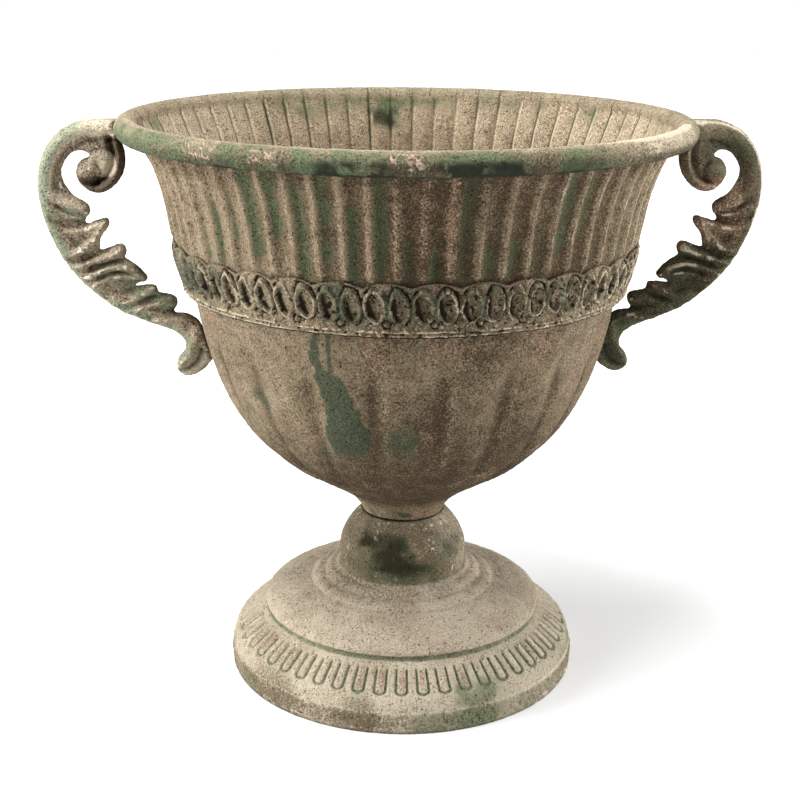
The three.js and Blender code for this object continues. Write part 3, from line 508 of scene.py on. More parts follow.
def bowl():
    lap = straight_line([(157.2, 317.8), (150.6, 291.5)], 4)
    body = smooth_line([(149.4, 288.6), (147.2, 272), (142, 250), (135.4, 229.6), (126.5, 209.9), (116.6, 193.6),
                        (105, 179.6), (88, 164.6), (69.6, 153.1), (53.6, 143.2), (44, 136.8)], 1.9)
    neck = smooth_line([(39.4, 132.9), (35.6, 128.9), (32.9, 125.2), (31, 121.8), (30.3, 119.6)], 1.5)
    floor = straight_line([(29.4, 119.35), (4.3, 119.35)], 4)
    outside = np.vstack([lap, body, neck, floor])
    lines = [(outside, 1), (back_of(outside, SHEET, 3), -1)]
    piece, (angle, r, z, form, side) = turn_sheet("lobed_bowl", lines, 560, lobe_relief, 0.4)
    around, view = on_urn(angle, r, z)
    behind = rise(np.abs(view), 70, 95)
    run = green_run(around, view, z)
    torn, torn_z = view + 4 * lumps(around, 15, 8), z + 9 * lumps(around, 12, 10)
    green = 0.95 * run + (1 + 0.5 * lumps(around, 8, 13)) * spots(BOWL_GREEN, torn, torn_z)
    green += behind * 0.6 * rise(lumps(around * (1, 1, 0.35), 19, 33), 0.25, 0.75)
    wash(piece, "verdigris", np.where(side > 0, green, 0.35 * rise(lumps(around, 22, 34), -0.1, 0.6)))
    wash(piece, "rust", 0.45 * rise(lumps(around * (1, 1, 0.6), 20, 37), 0.1, 0.6) * (1 - run))
    # Painted shade: darker low on the bowl where it faces down, in the lobes' creases, at the front between the
    # side lights and towards the right, and over the inner face; at the front the paint is darker as well. The
    # neck is lightened, painted light.
    creases = rise(-form, LOBE_DEPTH * 0.4, LOBE_DEPTH * 0.9)
    low = 0.92 * (1 - rise(z, 150, 235)) - 0.9 * (1 - rise(z, 130, 146))
    front = 0.65 * bell(view, 6, 34) + 0.3 * rise(view, 15, 50) * (1 - behind)
    wash(piece, "shade", low + 0.45 * creases + front + 0.35 * lumps(around, 34, 35) + 0.3 * (side < 0))
    # A dark stain below the green run, a painted shadow along the foot of the band, the dark joint at the neck,
    # and painted shade in the creases.
    below_run = blot((view + 17) / 7, (z - 200) / 16) * (side > 0)
    band_shadow, neck_joint = bell(z, 290.5, 2.2), rise(-z, -121.5, -119.8)
    wash(piece, "recess", 0.5 * band_shadow + 0.25 * creases + 0.35 * below_run + 0.4 * neck_joint)
    # A painted highlight beside each crease on its lit side; the upper left flank and patches behind are paler.
    from_crease = (angle - LOBE_PHASE + 180 / LOBES) % (360 / LOBES) - 180 / LOBES
    beside = bell(from_crease, 3.4, 2.4) * rise(z, 175, 195) * (1 - rise(z, 250, 275)) * (side > 0)
    crease_highlight = (0.56 + 0.14 * lumps(around, 6, 12) - 0.15 * rise(np.abs(view), 20, 45)) * beside
    pale_left = 0.45 * bell(view, -52, 26) * rise(z, 215, 250)
    pale_behind = 0.35 * rise(lumps(around, 18, 36), 0.2, 0.7) * behind
    wash(piece, "crest", np.maximum(pale_left, crease_highlight) + pale_behind)
    piece.data.materials.append(sandy_paint(
        "bowl_paint", pale=colour(194, 179, 152), body=colour(142, 126, 102), dark=colour(72, 59, 43),
        green=colour(72, 84, 64), grime_and_shade=colour(50, 42, 28)))
    return piece


lobed = bowl()
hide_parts("lower_bowl")
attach(lobed, "root")

# Upper wall: pressed sheet collar with 64 narrow upright ridges. Its top is rolled outwards into a hollow
# bead, and its plain lower edge laps over the bowl. Green has run down the channels from the rim.
FLUTES = 64
FLUTE_HEIGHT = 2.5
ROLL_CENTRE = (192, 403.5)
ROLL_RADIUS = 7.75
# Green runs down the channels.
WALL_STREAKS = [
    (-51, 1.7, 327, 348, 0.5), (-46, 1.9, 330, 368, 0.8), (-39.6, 1.6, 345, 380, 0.45),
    (-33.6, 2.2, 338, 395, 0.95), (-28, 1.7, 350, 395, 0.85), (-22.4, 2, 326, 388, 0.72),
    (-16.8, 2, 338, 392, 0.75), (-11, 1.9, 326, 376, 0.66), (-5.4, 1.8, 330, 390, 0.56),
    (0.4, 1.7, 326, 352, 0.6), (6, 1.9, 326, 346, 0.66), (12, 1.7, 326, 394, 0.55),
    (17.4, 1.6, 326, 352, 0.5), (23.4, 1.8, 326, 354, 0.56), (29, 1.6, 330, 362, 0.4),
    (35, 1.7, 340, 390, 0.56), (40.4, 1.5, 345, 388, 0.45), (47, 1.5, 330, 352, 0.4),
    (61, 4.5, 326, 350, 0.5), (66, 4, 330, 364, 0.5)]
# Stains round the rolled rim: angle from the camera's side, and strength there.
BEAD_GREEN = [
    (-180, 0.7), (-120, 0.6), (-95, 0.3), (-80, 0.2), (-72, 0.9), (-46, 0.9), (-43, 0.65), (-35, 0.65),
    (-33, 0.95), (-29, 0.95), (-27, 0.65), (-22, 0.65), (-20, 1), (-8, 0.9), (0, 0.6), (4, 0.5), (7, 1),
    (18, 1), (21, 0.3), (25, 0.3), (28, 0.85), (36, 0.8), (40, 0.25), (70, 0.3), (80, 0.6), (110, 0.4),
    (180, 0.8)]
BEAD_DARK = [
    (-60, 0), (-46, 0.1), (-43, 0.2), (-35, 0.2), (-33.5, 0.5), (-30, 0.5), (-28, 0.2), (-26, 0.5),
    (-20, 0.45), (-17, 0.2), (-13, 0.9), (-3, 0.85), (-1, 0.35), (2, 0.3), (4, 0.85), (19, 0.85),
    (21, 0.15), (25, 0.1), (28, 0.55), (35, 0.5), (38, 0)]
BEAD_CRUST = [
    (-60, 0.3), (-47, 0.35), (-44, 0.95), (-35, 0.9), (-33, 0.4), (-29, 0.4), (-27, 0.95), (-22, 0.9),
    (-20, 0.45), (-14, 0.5), (-3, 0.5), (-1, 0.95), (2, 0.9), (4, 0.3), (36, 0.3), (41, 0.25), (72, 0.25),
    (80, 0.4)]


def from_ridge(angle):
    """Place across a flute, from -0.5 to 0.5, with 0 on its ridge."""
    return (angle * FLUTES / (2 * np.pi) + 0.5) % 1 - 0.5


def flute_relief(angle, r, z):
    channel = np.clip((np.abs(from_ridge(angle)) - 0.04) / 0.46, 0, 1)
    ridge = (1 - np.sin(channel * np.pi / 2)) ** 1.15
    return FLUTE_HEIGHT * ridge * rise(z, 326, 332) * (1 - 0.5 * rise(z, 388, 401))


def round_line(centre, radius, start, end, step):
    """Arc, with its angles in degrees from the outward direction."""
    turn = np.radians(np.linspace(start, end, max(2, round(math.radians(abs(end - start)) * radius / step)) + 1))
    return np.stack([centre[0] + radius * np.cos(turn), centre[1] + radius * np.sin(turn)], 1)


def wall_streaks(view, z):
    """Green runs in the channels, each from its angle, half width, lower and upper end and strength."""
    green = np.zeros(len(view))
    for centre, half_width, bottom, top, strength in WALL_STREAKS:
        fade = rise(z, bottom - 5, bottom + 5) * (1 - rise(z, top - 6, top + 8))
        green = np.maximum(green, strength * bell(view, centre, 1.2 * half_width, 4) * fade)
    return green


def upper_wall():
    wall = smooth_line([(182.4, 397.4), (177.6, 388.4), (173.1, 378.6), (167.3, 360), (163.9, 342), (161.9, 329)],
                       2.4)
    lap = straight_line([(161.6, 327.4), (154, 297.2)], 4)
    outside = np.vstack([[(184.6, 401)], wall, lap])
    inside = back_of(outside, SHEET, 2)
    bead = round_line(ROLL_CENTRE, ROLL_RADIUS, 160, -150, 1.8)
    hollow = round_line(ROLL_CENTRE, ROLL_RADIUS - SHEET, -150, 165, 6)
    lines = [(outside, 1), (inside, -1), (bead, 0), (hollow, 0)]
    piece, (angle, r, z, form, side) = turn_sheet("fluted_wall", lines, 1024, flute_relief, 0.36)
    around, view = on_urn(angle, r, z)
    on_bead, behind = side == 0, rise(np.abs(view), 72, 90)
    round_bead = np.degrees(np.arctan2(z - ROLL_CENTRE[1], r - ROLL_CENTRE[0]))
    worn_view = view + 2.5 * lumps(around, 16, 43) + 1.8 * lumps(around, 5, 30)
    flank = from_ridge(np.radians(angle))
    channel = 1 - rise(form, 0.5, 1.6)
    groove_strength = 0.6 + 0.5 * lumps(around * (1, 1, 0.5), 21, 38)
    inner_groove = bell(flank, 0, 0.06) * (side < 0) * rise(z, 326, 330) * groove_strength
    old_stain = blot((worn_view + 174.5) / 3.2, (z - 388.5 + 3 * lumps(around, 7, 19)) / 7, 4)
    middle = bell(view, 11, 42)

    def by_face(bead, outside, inside):
        return np.where(on_bead, bead, np.where(side > 0, outside, inside))

    drawn_out = lumps(around * (1, 1, 0.25), 13, 41)
    green = np.maximum(wall_streaks(view, z), behind * 0.75 * rise(drawn_out, 0.1, 0.7))
    right_of_ridge = 0.62 + 0.38 * rise(flank, -0.05, 0.12) * (1 - rise(flank, 0.34, 0.44))
    outer_green = (1.5 * green + 0.3 * rise(drawn_out, -0.3, 0.6)) * (0.4 + 0.6 * channel) * right_of_ridge
    outer_green *= 0.85 + 0.3 * lumps(around, 7, 40)
    back_left = bell(view, -168, 60) + bell(view, 192, 60)
    inner_green = inner_groove * (0.45 + 0.3 * back_left)
    inner_green += 0.4 * back_left * rise(lumps(around, 24, 42), 0.2, 0.7)
    inner_green += 0.6 * rise(z, 386, 397) * (0.6 + 0.7 * lumps(around, 20, 48)) + 0.8 * old_stain
    bead_green = read_off(worn_view, BEAD_GREEN) * (0.85 + 0.4 * lumps(around, 7, 47))
    bead_green *= (1 - 0.7 * rise(round_bead, 55, 80) * (1 - behind)) * (1 - 0.45 * rise(round_bead, 92, 110))
    crusty = read_off(worn_view, BEAD_CRUST)
    scabs = rise(0.5 * lumps(around, 4, 46) + 0.8 * lumps(around, 1.4, 17) + 0.45 * crusty, 0.35, 0.65) * crusty
    scabs *= (1 - rise(round_bead, 45, 70)) * rise(round_bead, -45, -15)
    wash(piece, "verdigris", by_face(bead_green * (1 - 0.85 * scabs), outer_green, inner_green))

    # Painted shade: the roll darker on its underside, and at the front except on top, where there is dirt as
    # well. The wall darker in the middle between the side lights, under the roll and towards the right, partly
    # painted shade and partly dirt; on the ridges only a share of it is kept, so the channels stay darker as
    # painted shade, and the right flank of each ridge is darkened, painted shade. Inside, the grooves are darker.
    bead_shade_and_dirt = 0.15 + 0.7 * (1 - rise(round_bead, -40, 10))
    bead_shade_and_dirt += 0.6 * bell(view, 12, 40) * (1 - rise(round_bead, 30, 65))
    wall_shade_and_dirt = 0.95 * middle + 0.4 * rise(z, 376, 392) + 0.7 * bell(view, 34, 20)
    ridge_darkening = 0.32 + 0.45 * bell(view, 3, 10)
    wall_shade_and_dirt *= ridge_darkening + (1 - ridge_darkening) * channel
    wall_shade_and_dirt += 0.3 * bell(flank, 0.22, 0.13) * (1 - rise(view, 20, 40))
    wash(piece, "shade", by_face(bead_shade_and_dirt, wall_shade_and_dirt, 0.1 + 0.35 * inner_groove))

    # Dark lines in the grooves at the back of the roll and inside, painted shade with dirt in them; dark patches
    # on the roll; painted shadow on the roll's underside and along the seam under it; and the channels darker in
    # the middle and under the green, dirt and painted shade.
    bead_groove = bell(flank, 0, 0.05) * rise(round_bead, 92, 106) * groove_strength
    dark_patch = read_off(worn_view, BEAD_DARK) * (1 - rise(round_bead, -8, 48))
    dark_patch *= rise(lumps(around, 8, 45) + 0.5 * lumps(around, 2.5, 16), -1.0, 0.0)
    bead_underside = 1 - rise(round_bead + 14 * lumps(around, 6, 18), -75, -40)
    channel_dirt_and_shade = (0.3 * middle + 0.35 * np.minimum(green, 1) * rise(view, -25, 0)) * channel
    wash(piece, "recess", by_face(0.95 * dark_patch + 0.9 * bead_groove + 0.5 * bead_underside,
                                  channel_dirt_and_shade + 0.75 * bell(z, 396.8, 2),
                                  0.95 * inner_groove + 0.75 * old_stain))

    # The roll's right end is pale paint, and its crusts are pale. A painted highlight runs along the top of the
    # roll and along each ridge's crest, with wear in it, stronger on the right, and the wall's right end is
    # lightened, painted light. Inside, the paint is paler, and paler still at the sides, painted light, with a
    # painted highlight beside each groove.
    pale_end = bell(worn_view, 57, 17, 4) * rise(round_bead, -30, 0)
    bead_crust_and_highlight = 0.8 * scabs + 0.6 * rise(round_bead, 58, 76) * (1 - 0.5 * behind) + 0.72 * pale_end
    crest_line = bell(flank, 0.01, 0.045) * (z < 398) * (0.75 + 0.35 * lumps(around, 8, 49))
    wall_highlight_and_wear = (0.78 + 0.2 * rise(view, 15, 40)) * crest_line + 0.4 * rise(view, 48, 66) * (1 - behind)
    inner_pale_and_light = 0.42 + 0.3 * np.abs(np.sin(np.radians(view)))
    inner_pale_and_light += 0.3 * bell(flank, -0.1, 0.05) - 0.3 * inner_groove
    wash(piece, "crest", by_face(bead_crust_and_highlight, wall_highlight_and_wear, inner_pale_and_light))

    left_flank = bell(flank, -0.14, 0.12) * rise(z, 328, 334) * (1 - rise(view, 0, 20))
    red_ridge = bell(view, 8.5, 1.6) * rise(z, 330, 345)
    right_ridges = (1 - channel) * rise(view, 5, 20) * (1 - rise(view, 40, 60))
    wash(piece, "rust", by_face(0.75 * scabs, 0.5 * left_flank + 0.4 * red_ridge + 0.3 * right_ridges,
                                0.35 * rise(lumps(around, 18, 50), 0, 0.6)))
    piece.data.materials.append(sandy_paint(
        "wall_paint", pale=colour(204, 188, 162), body=colour(150, 133, 108), dark=colour(76, 61, 43),
        green=colour(92, 103, 74), grime_and_shade=colour(46, 41, 28)))
    piece.data.materials.append(sandy_paint(
        "bead_paint", pale=colour(206, 192, 168), body=colour(152, 138, 114), dark=colour(78, 68, 51),
        green=colour(106, 119, 88), grime_and_shade=colour(38, 43, 34), rust=colour(178, 142, 124)))
    corners = np.zeros(len(piece.data.polygons) * 4, int)
    piece.data.polygons.foreach_get("vertices", corners)
    piece.data.polygons.foreach_set("material_index", on_bead[corners[::4]].astype(int))
    return piece


fluted = upper_wall()
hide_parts("upper_wall")
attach(fluted, "root")

# Ornament band: an embossed sheet strap that covers the lap between wall and bowl. Each scallop of its top
# edge spans two leaning oval eyes with a raised strand between them, over a boss, a slot and a double bead.
EYES = 68
BAND_PHASE = 2.5
EYE_PITCH = 14.79
EYE_MIDDLE = 311.6
EYE_HALF_WIDTH = 5.9
EYE_HALF_HEIGHT = 9.9


def eye_places(angle, z):
    """For each point of the band: how far it is along from its scallop's peak, aside of its eye's middle and
    up from it, and how far outside the eye's rim."""
    pale_marks = np.stack(np.broadcast_arrays(160 * np.sin(angle), -160 * np.cos(angle), z), -1)
    along = (angle - math.radians(BAND_PHASE)) * EYES / (2 * np.pi) * EYE_PITCH
    along = along + 0.9 * lumps(pale_marks, 12, 51) + 0.35 * lumps(pale_marks, 3.4, 58)
    up = z - EYE_MIDDLE + 0.9 * lumps(pale_marks, 11, 52) + 0.35 * lumps(pale_marks, 3.4, 59)
    from_peak = (along + EYE_PITCH) % (2 * EYE_PITCH) - EYE_PITCH
    across = along % EYE_PITCH - EYE_PITCH / 2 + 0.07 * up
    reach = np.hypot(across / EYE_HALF_WIDTH, up / EYE_HALF_HEIGHT)
    slope = np.hypot(across / EYE_HALF_WIDTH**2, up / EYE_HALF_HEIGHT**2)
    edge = reach * (reach - 1) / np.maximum(slope, 0.02) + 0.45 * lumps(pale_marks, 2.4, 60)
    return from_peak, across, up, edge


def band_beads(z):
    return bell(z, 295.9, 0.85) + bell(z, 293.2, 0.85)


def band_strand(from_peak, up, half_width):
    """The raised strand between the two eyes of a scallop."""
    return bell(from_peak + 0.2 * up, 0, half_width) * (1 - rise(np.abs(up), 8, 11))


def band_relief(angle, r, z):
    from_peak, across, up, edge = eye_places(angle, z)
    above_beads = rise(z, 299, 301)
    hollow = (1 - rise(edge, -1.8, -0.6)) * np.clip(1 - 0.12 * across - 0.03 * up, 0.5, 1.5)
    crevice = bell(edge, 1.7, 0.7) * np.where(from_peak > 0, 1.0, 0.6)
    strand = band_strand(from_peak, up, 1.5)
    nicks = blot((EYE_PITCH - np.abs(from_peak) - 2.7) / 1.1, (up - 9.2) / 1.5)
    from_boss = np.hypot(from_peak, z - 300.3)
    boss = 1.3 * (1 - rise(from_boss, 1.0, 1.9)) - 1.2 * bell(from_boss, 2.6, 0.6)
    slot = bell(from_peak, 0, 2.6, 4) * bell(z, 297.4, 0.6)
    eyes = (1.6 * bell(edge, 0, 0.85) - 1.4 * crevice * (1 - 0.8 * strand)) * above_beads - 1.7 * hollow
    form = eyes + 0.9 * strand - 1.7 * nicks + boss - 1.3 * slot + 1.5 * band_beads(z) - 0.5
    return np.maximum(form, -2.2)


def scallops(angle, r, z):
    arches = np.abs(np.cos(EYES / 4 * (angle - math.radians(BAND_PHASE))))
    return 3.2 * arches * rise(z, 319, 324.4)


def ornament_band():
    foot = (153.3, 291.7)
    head = (161.5, 324.3)
    outer = straight_line([(156.4, 292.1), (164.4, 323.4)], 0.62)
    top = smooth_line([(164.1, 324.1), (163.2, 324.5), head], 0.8)
    back = straight_line([head, foot], 8)[1:]
    lines = [(outer, 1), (top, 0), (back, 0), (straight_line([foot, (156, 291.6)], 0.9)[1:], 0)]
    lines = [(line[::-1], show) for line, show in lines[::-1]]
    piece, (angle, r, z, form, side) = turn_sheet("ornament_strap", lines, 1496, band_relief, 0.6, scallops)
    around, view = on_urn(angle, r, z)
    from_peak, across, up, edge = eye_places(np.radians(angle), z)
    outside = rise(side, 0.1, 0.9)
    leftward = 0.6 + 0.4 * np.cos(np.radians(view + 50))
    # Painted shadow on the left inner side of each eye, and the eyes dark all over towards the far sides, painted
    # shade. The crevices round the raised parts and the lines between and under the beads are darkened, painted
    # shade with dirt; pits are dark too.
    far_sides = np.maximum(rise(view, 42, 55), rise(-view, 58, 70)) * (1 - rise(np.abs(view), 76, 92))
    shadow_side = 0.22 + 0.68 * rise(-across - 0.15 * up, 0, 3)
    in_eye = (1 - rise(edge, -1.5, -0.5)) * np.maximum(shadow_side, 0.8 * far_sides) * outside
    gaps = rise(-form, 0.9, 1.5) * rise(edge, 0.3, 1.0)
    beads = band_beads(z) * outside
    low_lines = (1 - rise(z, 291.8, 297.6)) * rise(0.6 - beads, 0, 0.4) + (1 - rise(z, 291.8, 292.6))
    holes = rise(lumps(around, 1.7, 29), 0.3, 0.55)
    wash(piece, "recess", np.maximum.reduce([0.95 * in_eye, 0.9 * gaps, 0.75 * low_lines]) + 0.7 * holes)

    above_beads = rise(z, 299, 301)
    ring = bell(edge, 0, 0.8) * above_beads * outside
    strand = band_strand(from_peak, up, 1.6) * outside
    broken = 0.2 + 0.8 * rise(0.6 * lumps(around, 5, 53) + 0.6 * lumps(around, 1.9, 39), -0.35, 0.25)
    # Pale on the rings, beads and raised parts, painted highlights with wear, more towards the sides; pale flecks
    # too.
    more_at_sides = 1 + 0.3 * rise(np.abs(view), 35, 55) + 0.4 * rise(-view, 30, 45)
    pale_marks = (0.85 * ring + 0.7 * beads + 0.6 * rise(form, 0.5, 1)) * broken * more_at_sides
    wash(piece, "crest", pale_marks + 0.7 * rise(lumps(around, 1.7, 22), 0.3, 0.6))
    wash(piece, "rust", 0.4 * rise(lumps(around, 13, 56), 0.1, 0.6))
    blue_rings = bell(view, -15.5, 4.5) + 0.9 * bell(view, -2, 4) + 0.5 * bell(view, 38, 4)
    blue_rings *= rise(edge, -2.5, -0.5)
    raised_green = (0.25 + 0.4 * leftward) * np.maximum(strand, ring) * (1 - 0.5 * rise(view, 45, 60))
    green = 0.6 * rise(lumps(around, 15, 54), -0.2, 0.6) * leftward + raised_green + 0.3 * rise(-view, 54, 68)
    wash(piece, "verdigris", green * 0.8 + 0.45 * blue_rings * rise(z, 298, 303))
    # Darker at the front, painted shade between the side lights together with darker paint, and in patches.
    wash(piece, "shade", 0.15 + 0.5 * bell(view, 8, 45) + 0.3 * lumps(around, 21, 55))
    piece.data.materials.append(sandy_paint(
        "band_paint", pale=colour(212, 199, 172), body=colour(157, 142, 117), dark=colour(92, 78, 58),
        green=colour(104, 108, 87), grime_and_shade=colour(34, 29, 20)))
    return piece


strap = ornament_band()
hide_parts("ornament_band")
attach(strap, "root")

# Handles: two castings of one pattern, a scroll with acanthus leaves down its inner side. The lug at the top is
# brazed to the roll, and a screw from inside the bowl holds the curled foot. The left one has gone pale green
# along its back, and the right one is darker and browner.
# Grid that the casting's surface is read from, with its corners given as radius and height.
CAST_CELL = 0.605
CAST_LAYERS = 42
CAST_CORNER = (136.4, 220.4)
CAST_FAR_CORNER = (258, 411)
# Outline of the casting at +X, as radius and height: its back, the seat on the bowl, the leafy inner side
# and the seat on the roll.
HANDLE_BACK = smooth_line([
    (203, 407.2), (212, 407.2), (222.5, 406.3), (238.5, 398.8), (250.3, 383.5), (255.1, 362),
    (252.7, 341), (245, 319), (233, 299), (215, 281), (195, 268.5), (175, 261), (163.5, 256),
    (158.3, 249.6), (158.6, 243), (162.5, 238), (164.8, 232), (163.2, 227), (157.6, 224.2),
    (150.6, 225.4), (144, 229.8)], 1.5)
FOOT_SEAT = straight_line([(138.2, 237), (141, 244.6), (144.3, 254.8)], 1.5)
HANDLE_LEAVES = smooth_line([
    (145, 258.5), (147, 263), (151, 267), (157, 269.9), (164.4, 271), (163.4, 275), (162.4, 279.4),
    (165.4, 283.2), (171, 284.7), (175.6, 286), (177, 290), (182, 291.4), (190.4, 290.7), (184.6, 293.4),
    (182.8, 296.2), (185, 299.4), (190, 305.2), (196, 309.6), (197.6, 311.6), (196.6, 315),
    (198.2, 319.4), (201.4, 320.8), (207, 318.7), (213.6, 317), (214.8, 321), (213.6, 326),
    (209.2, 331.4), (207.6, 335.4), (209.6, 338.9), (214, 337.8), (222.8, 335.6), (223.2, 338.6),
    (220.7, 343), (221.6, 348.4), (225, 351.2), (231, 354.7), (236, 361.5), (238.5, 368.5), (237.5, 375),
    (234, 381), (229.5, 384.6), (223.5, 385.8), (218.6, 383.4), (219.8, 381.4), (224, 379.3),
    (227.3, 375), (228.2, 369), (226, 363), (221, 358.6), (213.6, 356.4), (206, 359), (199, 365.5),
    (195, 374), (194.4, 383), (196.3, 390), (198.2, 394.4)], 1.3)
LUG_SEAT = round_line(ROLL_CENTRE, ROLL_RADIUS + 0.5, -44, 26, 1.3)
HANDLE_OUTLINE = np.vstack([HANDLE_BACK, FOOT_SEAT, HANDLE_LEAVES, LUG_SEAT])
# Crests of the leaves and the folds between them: the line of each, its height or depth, and its half width.
LEAF_CRESTS = [
    ([(222, 345), (229, 346), (237, 349.5), (246, 356)], 2.4, 3),
    ([(226, 339.5), (236, 341.5), (247, 346)], 1.6, 1.9),
    ([(208.8, 336), (213.5, 329.4), (221, 321), (231, 314.5), (240, 311)], 3, 2.8),
    ([(212, 336.6), (224, 331.5), (236, 329.5), (247, 331)], 1.8, 2.4),
    ([(199.4, 317), (207, 313), (217, 310), (228, 306.4), (236, 304.5)], 2.6, 2.4),
    ([(184.4, 297), (192, 302.4), (203, 305), (214, 302), (226, 297)], 2.6, 2.2),
    ([(190, 297), (200, 298.4), (210, 296.5), (220, 291)], 1.9, 2),
    ([(179, 288.4), (186, 284.6), (194, 280.6), (206, 278)], 2.4, 2.2),
    ([(164.4, 280.6), (173, 279.6), (182, 276), (193, 272.5), (202, 272.5)], 2.4, 2.2),
    ([(146, 260), (153, 265), (162, 267.4), (172, 266.4), (182, 265.5)], 2.2, 2.2),
    ([(151, 258), (150.5, 250), (155, 243), (160, 237)], 1.6, 2.8),
    ([(198, 396), (197, 384), (198.6, 373.4), (204, 364.6), (211, 359.8), (217.5, 360)], 3, 2.3)]
LEAF_FOLDS = [
    ([(203.4, 394), (202.4, 384), (203.8, 375.4), (208, 368.4), (214, 364.3)], 3.2, 1.3),
    ([(214, 377), (211.4, 370.5), (213.6, 364)], 2.2, 1),
    ([(224, 337.6), (231, 335.4), (240, 336), (248, 340)], 3.8, 1.7),
    ([(224, 343), (236, 345.4), (246, 350.6)], 1.5, 0.9),
    ([(214.6, 317), (220.6, 313.6), (229, 310.8), (237, 310)], 3.6, 1.9),
    ([(211, 331), (217, 325.4), (222, 317.4)], 1.5, 1.2),
    ([(198, 311), (205, 309.2), (214, 306.5), (224, 302.5)], 2.2, 1.3),
    ([(186, 297.5), (196, 300.8), (208, 301), (218, 297)], 1.6, 1),
    ([(189, 293), (199, 290.4), (209, 286.8), (216, 283)], 4.4, 2.3),
    ([(178, 284), (187, 281), (196, 276.8), (206, 274.5)], 2.2, 1.4),
    ([(164.6, 273), (174, 270.4), (186, 268.8), (194, 269.5)], 3.4, 1.7),
    ([(168, 278), (178, 275.6), (188, 272.4)], 1.4, 0.9),
    ([(146.6, 244), (149.6, 236.6), (155, 231.2), (161, 229.4)], 4, 1.6)]
BUD = np.array([220.2, 370.2])


def within(points, outline):
    """Which points lie inside a closed outline."""
    hits = np.zeros(points.shape[:-1], bool)
    for a, b in zip(outline, np.roll(outline, -1, 0)):
        passes = (a[1] > points[..., 1]) != (b[1] > points[..., 1])
        share = (points[..., 1] - a[1]) / (b[1] - a[1] if b[1] != a[1] else 1)
        hits ^= passes & (points[..., 0] < a[0] + share * (b[0] - a[0]))
    return hits


def away(points, line):
    """Distance from each point to a line of points."""
    nearest = np.full(points.shape[:-1], 1e9)
    for a, b in zip(line, line[1:]):
        along = b - a
        t = np.clip((points - a) @ along / (along @ along), 0, 1)
        nearest = np.minimum(nearest, np.linalg.norm(points - a - t[..., None] * along, axis=-1))
    return nearest


def domed(distance, half_width):
    """A half-round section: 0 at the edge and 1 at half_width in."""
    return np.sqrt(1 - (1 - np.clip(distance / half_width, 0, 1)) ** 2)


def line_bell(points, line, half_width):
    """1 along a line through the knots, fading out on both sides of it."""
    return bell(away(points, smooth_line(line, 2)), 0, half_width)


def scroll_thickness(points):
    """Half thickness of the casting across the sheet of the scroll, and the distance from its back."""
    edge = away(points, np.vstack([HANDLE_OUTLINE, HANDLE_OUTLINE[:1]]))
    edge = np.where(within(points, HANDLE_OUTLINE), edge, -edge)
    r, z = points[..., 0], points[..., 1]
    from_back = away(points, HANDLE_BACK)
    rib = 8.6 * domed(np.minimum(from_back, 13 - from_back), 6.3) * rise(z, 250, 262)
    from_volute = np.hypot(r - 211, z - 374)
    plate = 4.4 + 1.4 * (1 - rise(from_volute, 14, 22)) + 0.8 * rise(z, 352, 362) + 3.6 * (1 - rise(z, 250, 266))
    plate += 4 * (1 - rise(np.hypot(r - 199, z - 401), 8, 17))
    for line, height, half_width in LEAF_CRESTS:
        plate += 1.8 * height * line_bell(points, line, 1.2 * half_width)
    for line, depth, half_width in LEAF_FOLDS:
        fold = line_bell(points, line, 1.7 * half_width)
        plate -= 1.15 * depth * fold
        rib -= 0.75 * depth * fold * rise(from_back, 2, 6)
    groove = bell(from_back, 13.6, 1.3) * rise(z, 345, 355)
    rib = np.clip(rib * domed(edge, 2.5), 0, 20)
    plate = np.clip((plate - 1.5 * groove) * domed(edge, 3.6), 0, 20)
    bud = 11.5 * np.sqrt(np.clip(1 - (np.linalg.norm(points - BUD, axis=-1) / 8.2) ** 2, 0, 1)) * domed(edge, 2)
    thick = (rib**5 + plate**5 + bud**5) ** 0.2
    return np.where(edge > 0, np.maximum(thick, 0.3 * edge), 3 * edge), from_back


def cast_skin(half_thickness, corner, cell, layers):
    """Closed surface of a casting that is the same on both sides, from its half thickness over an upright grid.
    Each cell that the surface runs through gets one vertex, amid the points where it crosses the cell's edges."""
    y = (np.arange(layers) - (layers - 1) / 2) * cell
    depth = half_thickness[:, None, :] - np.abs(y)[None, :, None]
    metal = depth > 0
    total, crossings = np.zeros((*depth.shape, 3)), np.zeros(depth.shape)
    quads = []
    for axis in range(3):
        crossed = metal != np.roll(metal, -1, axis)
        here = np.argwhere(crossed)
        place = here.astype(float)
        place[:, axis] += depth[crossed] / (depth[crossed] - np.roll(depth, -1, axis)[crossed])
        around = []
        for back in ((0, 0), (1, 0), (1, 1), (0, 1)):
            cells = here.copy()
            cells[:, (axis + 1) % 3] -= back[0]
            cells[:, (axis + 2) % 3] -= back[1]
            np.add.at(total, tuple(cells.T), place)
            np.add.at(crossings, tuple(cells.T), 1)
            around.append(np.ravel_multi_index(cells.T, depth.shape))
        outward = np.stack(around, 1)
        leaving = metal[crossed]
        quads += [outward[leaving], outward[~leaving][:, ::-1]]
    used, quads = np.unique(np.vstack(quads), return_inverse=True)
    points = total.reshape(-1, 3)[used] / crossings.reshape(-1)[used][:, None]
    grid = np.rint(points).astype(int)
    points = points * cell + (corner[0], y[0], corner[1])
    return points, quads.reshape(-1, 4), (grid[:, 0], grid[:, 2])


def facing(points, quads):
    """The direction that each vertex looks in."""
    flat = np.cross(points[quads[:, 2]] - points[quads[:, 0]], points[quads[:, 3]] - points[quads[:, 1]])
    total = np.zeros_like(points)
    for i in range(4):
        np.add.at(total, quads[:, i], flat)
    return total / np.maximum(np.linalg.norm(total, axis=1, keepdims=True), 1e-9)


def blurred(field, times):
    for _ in range(times):
        for axis in (0, 1):
            field = (np.roll(field, 1, axis) + 2 * field + np.roll(field, -1, axis)) / 4
    return field


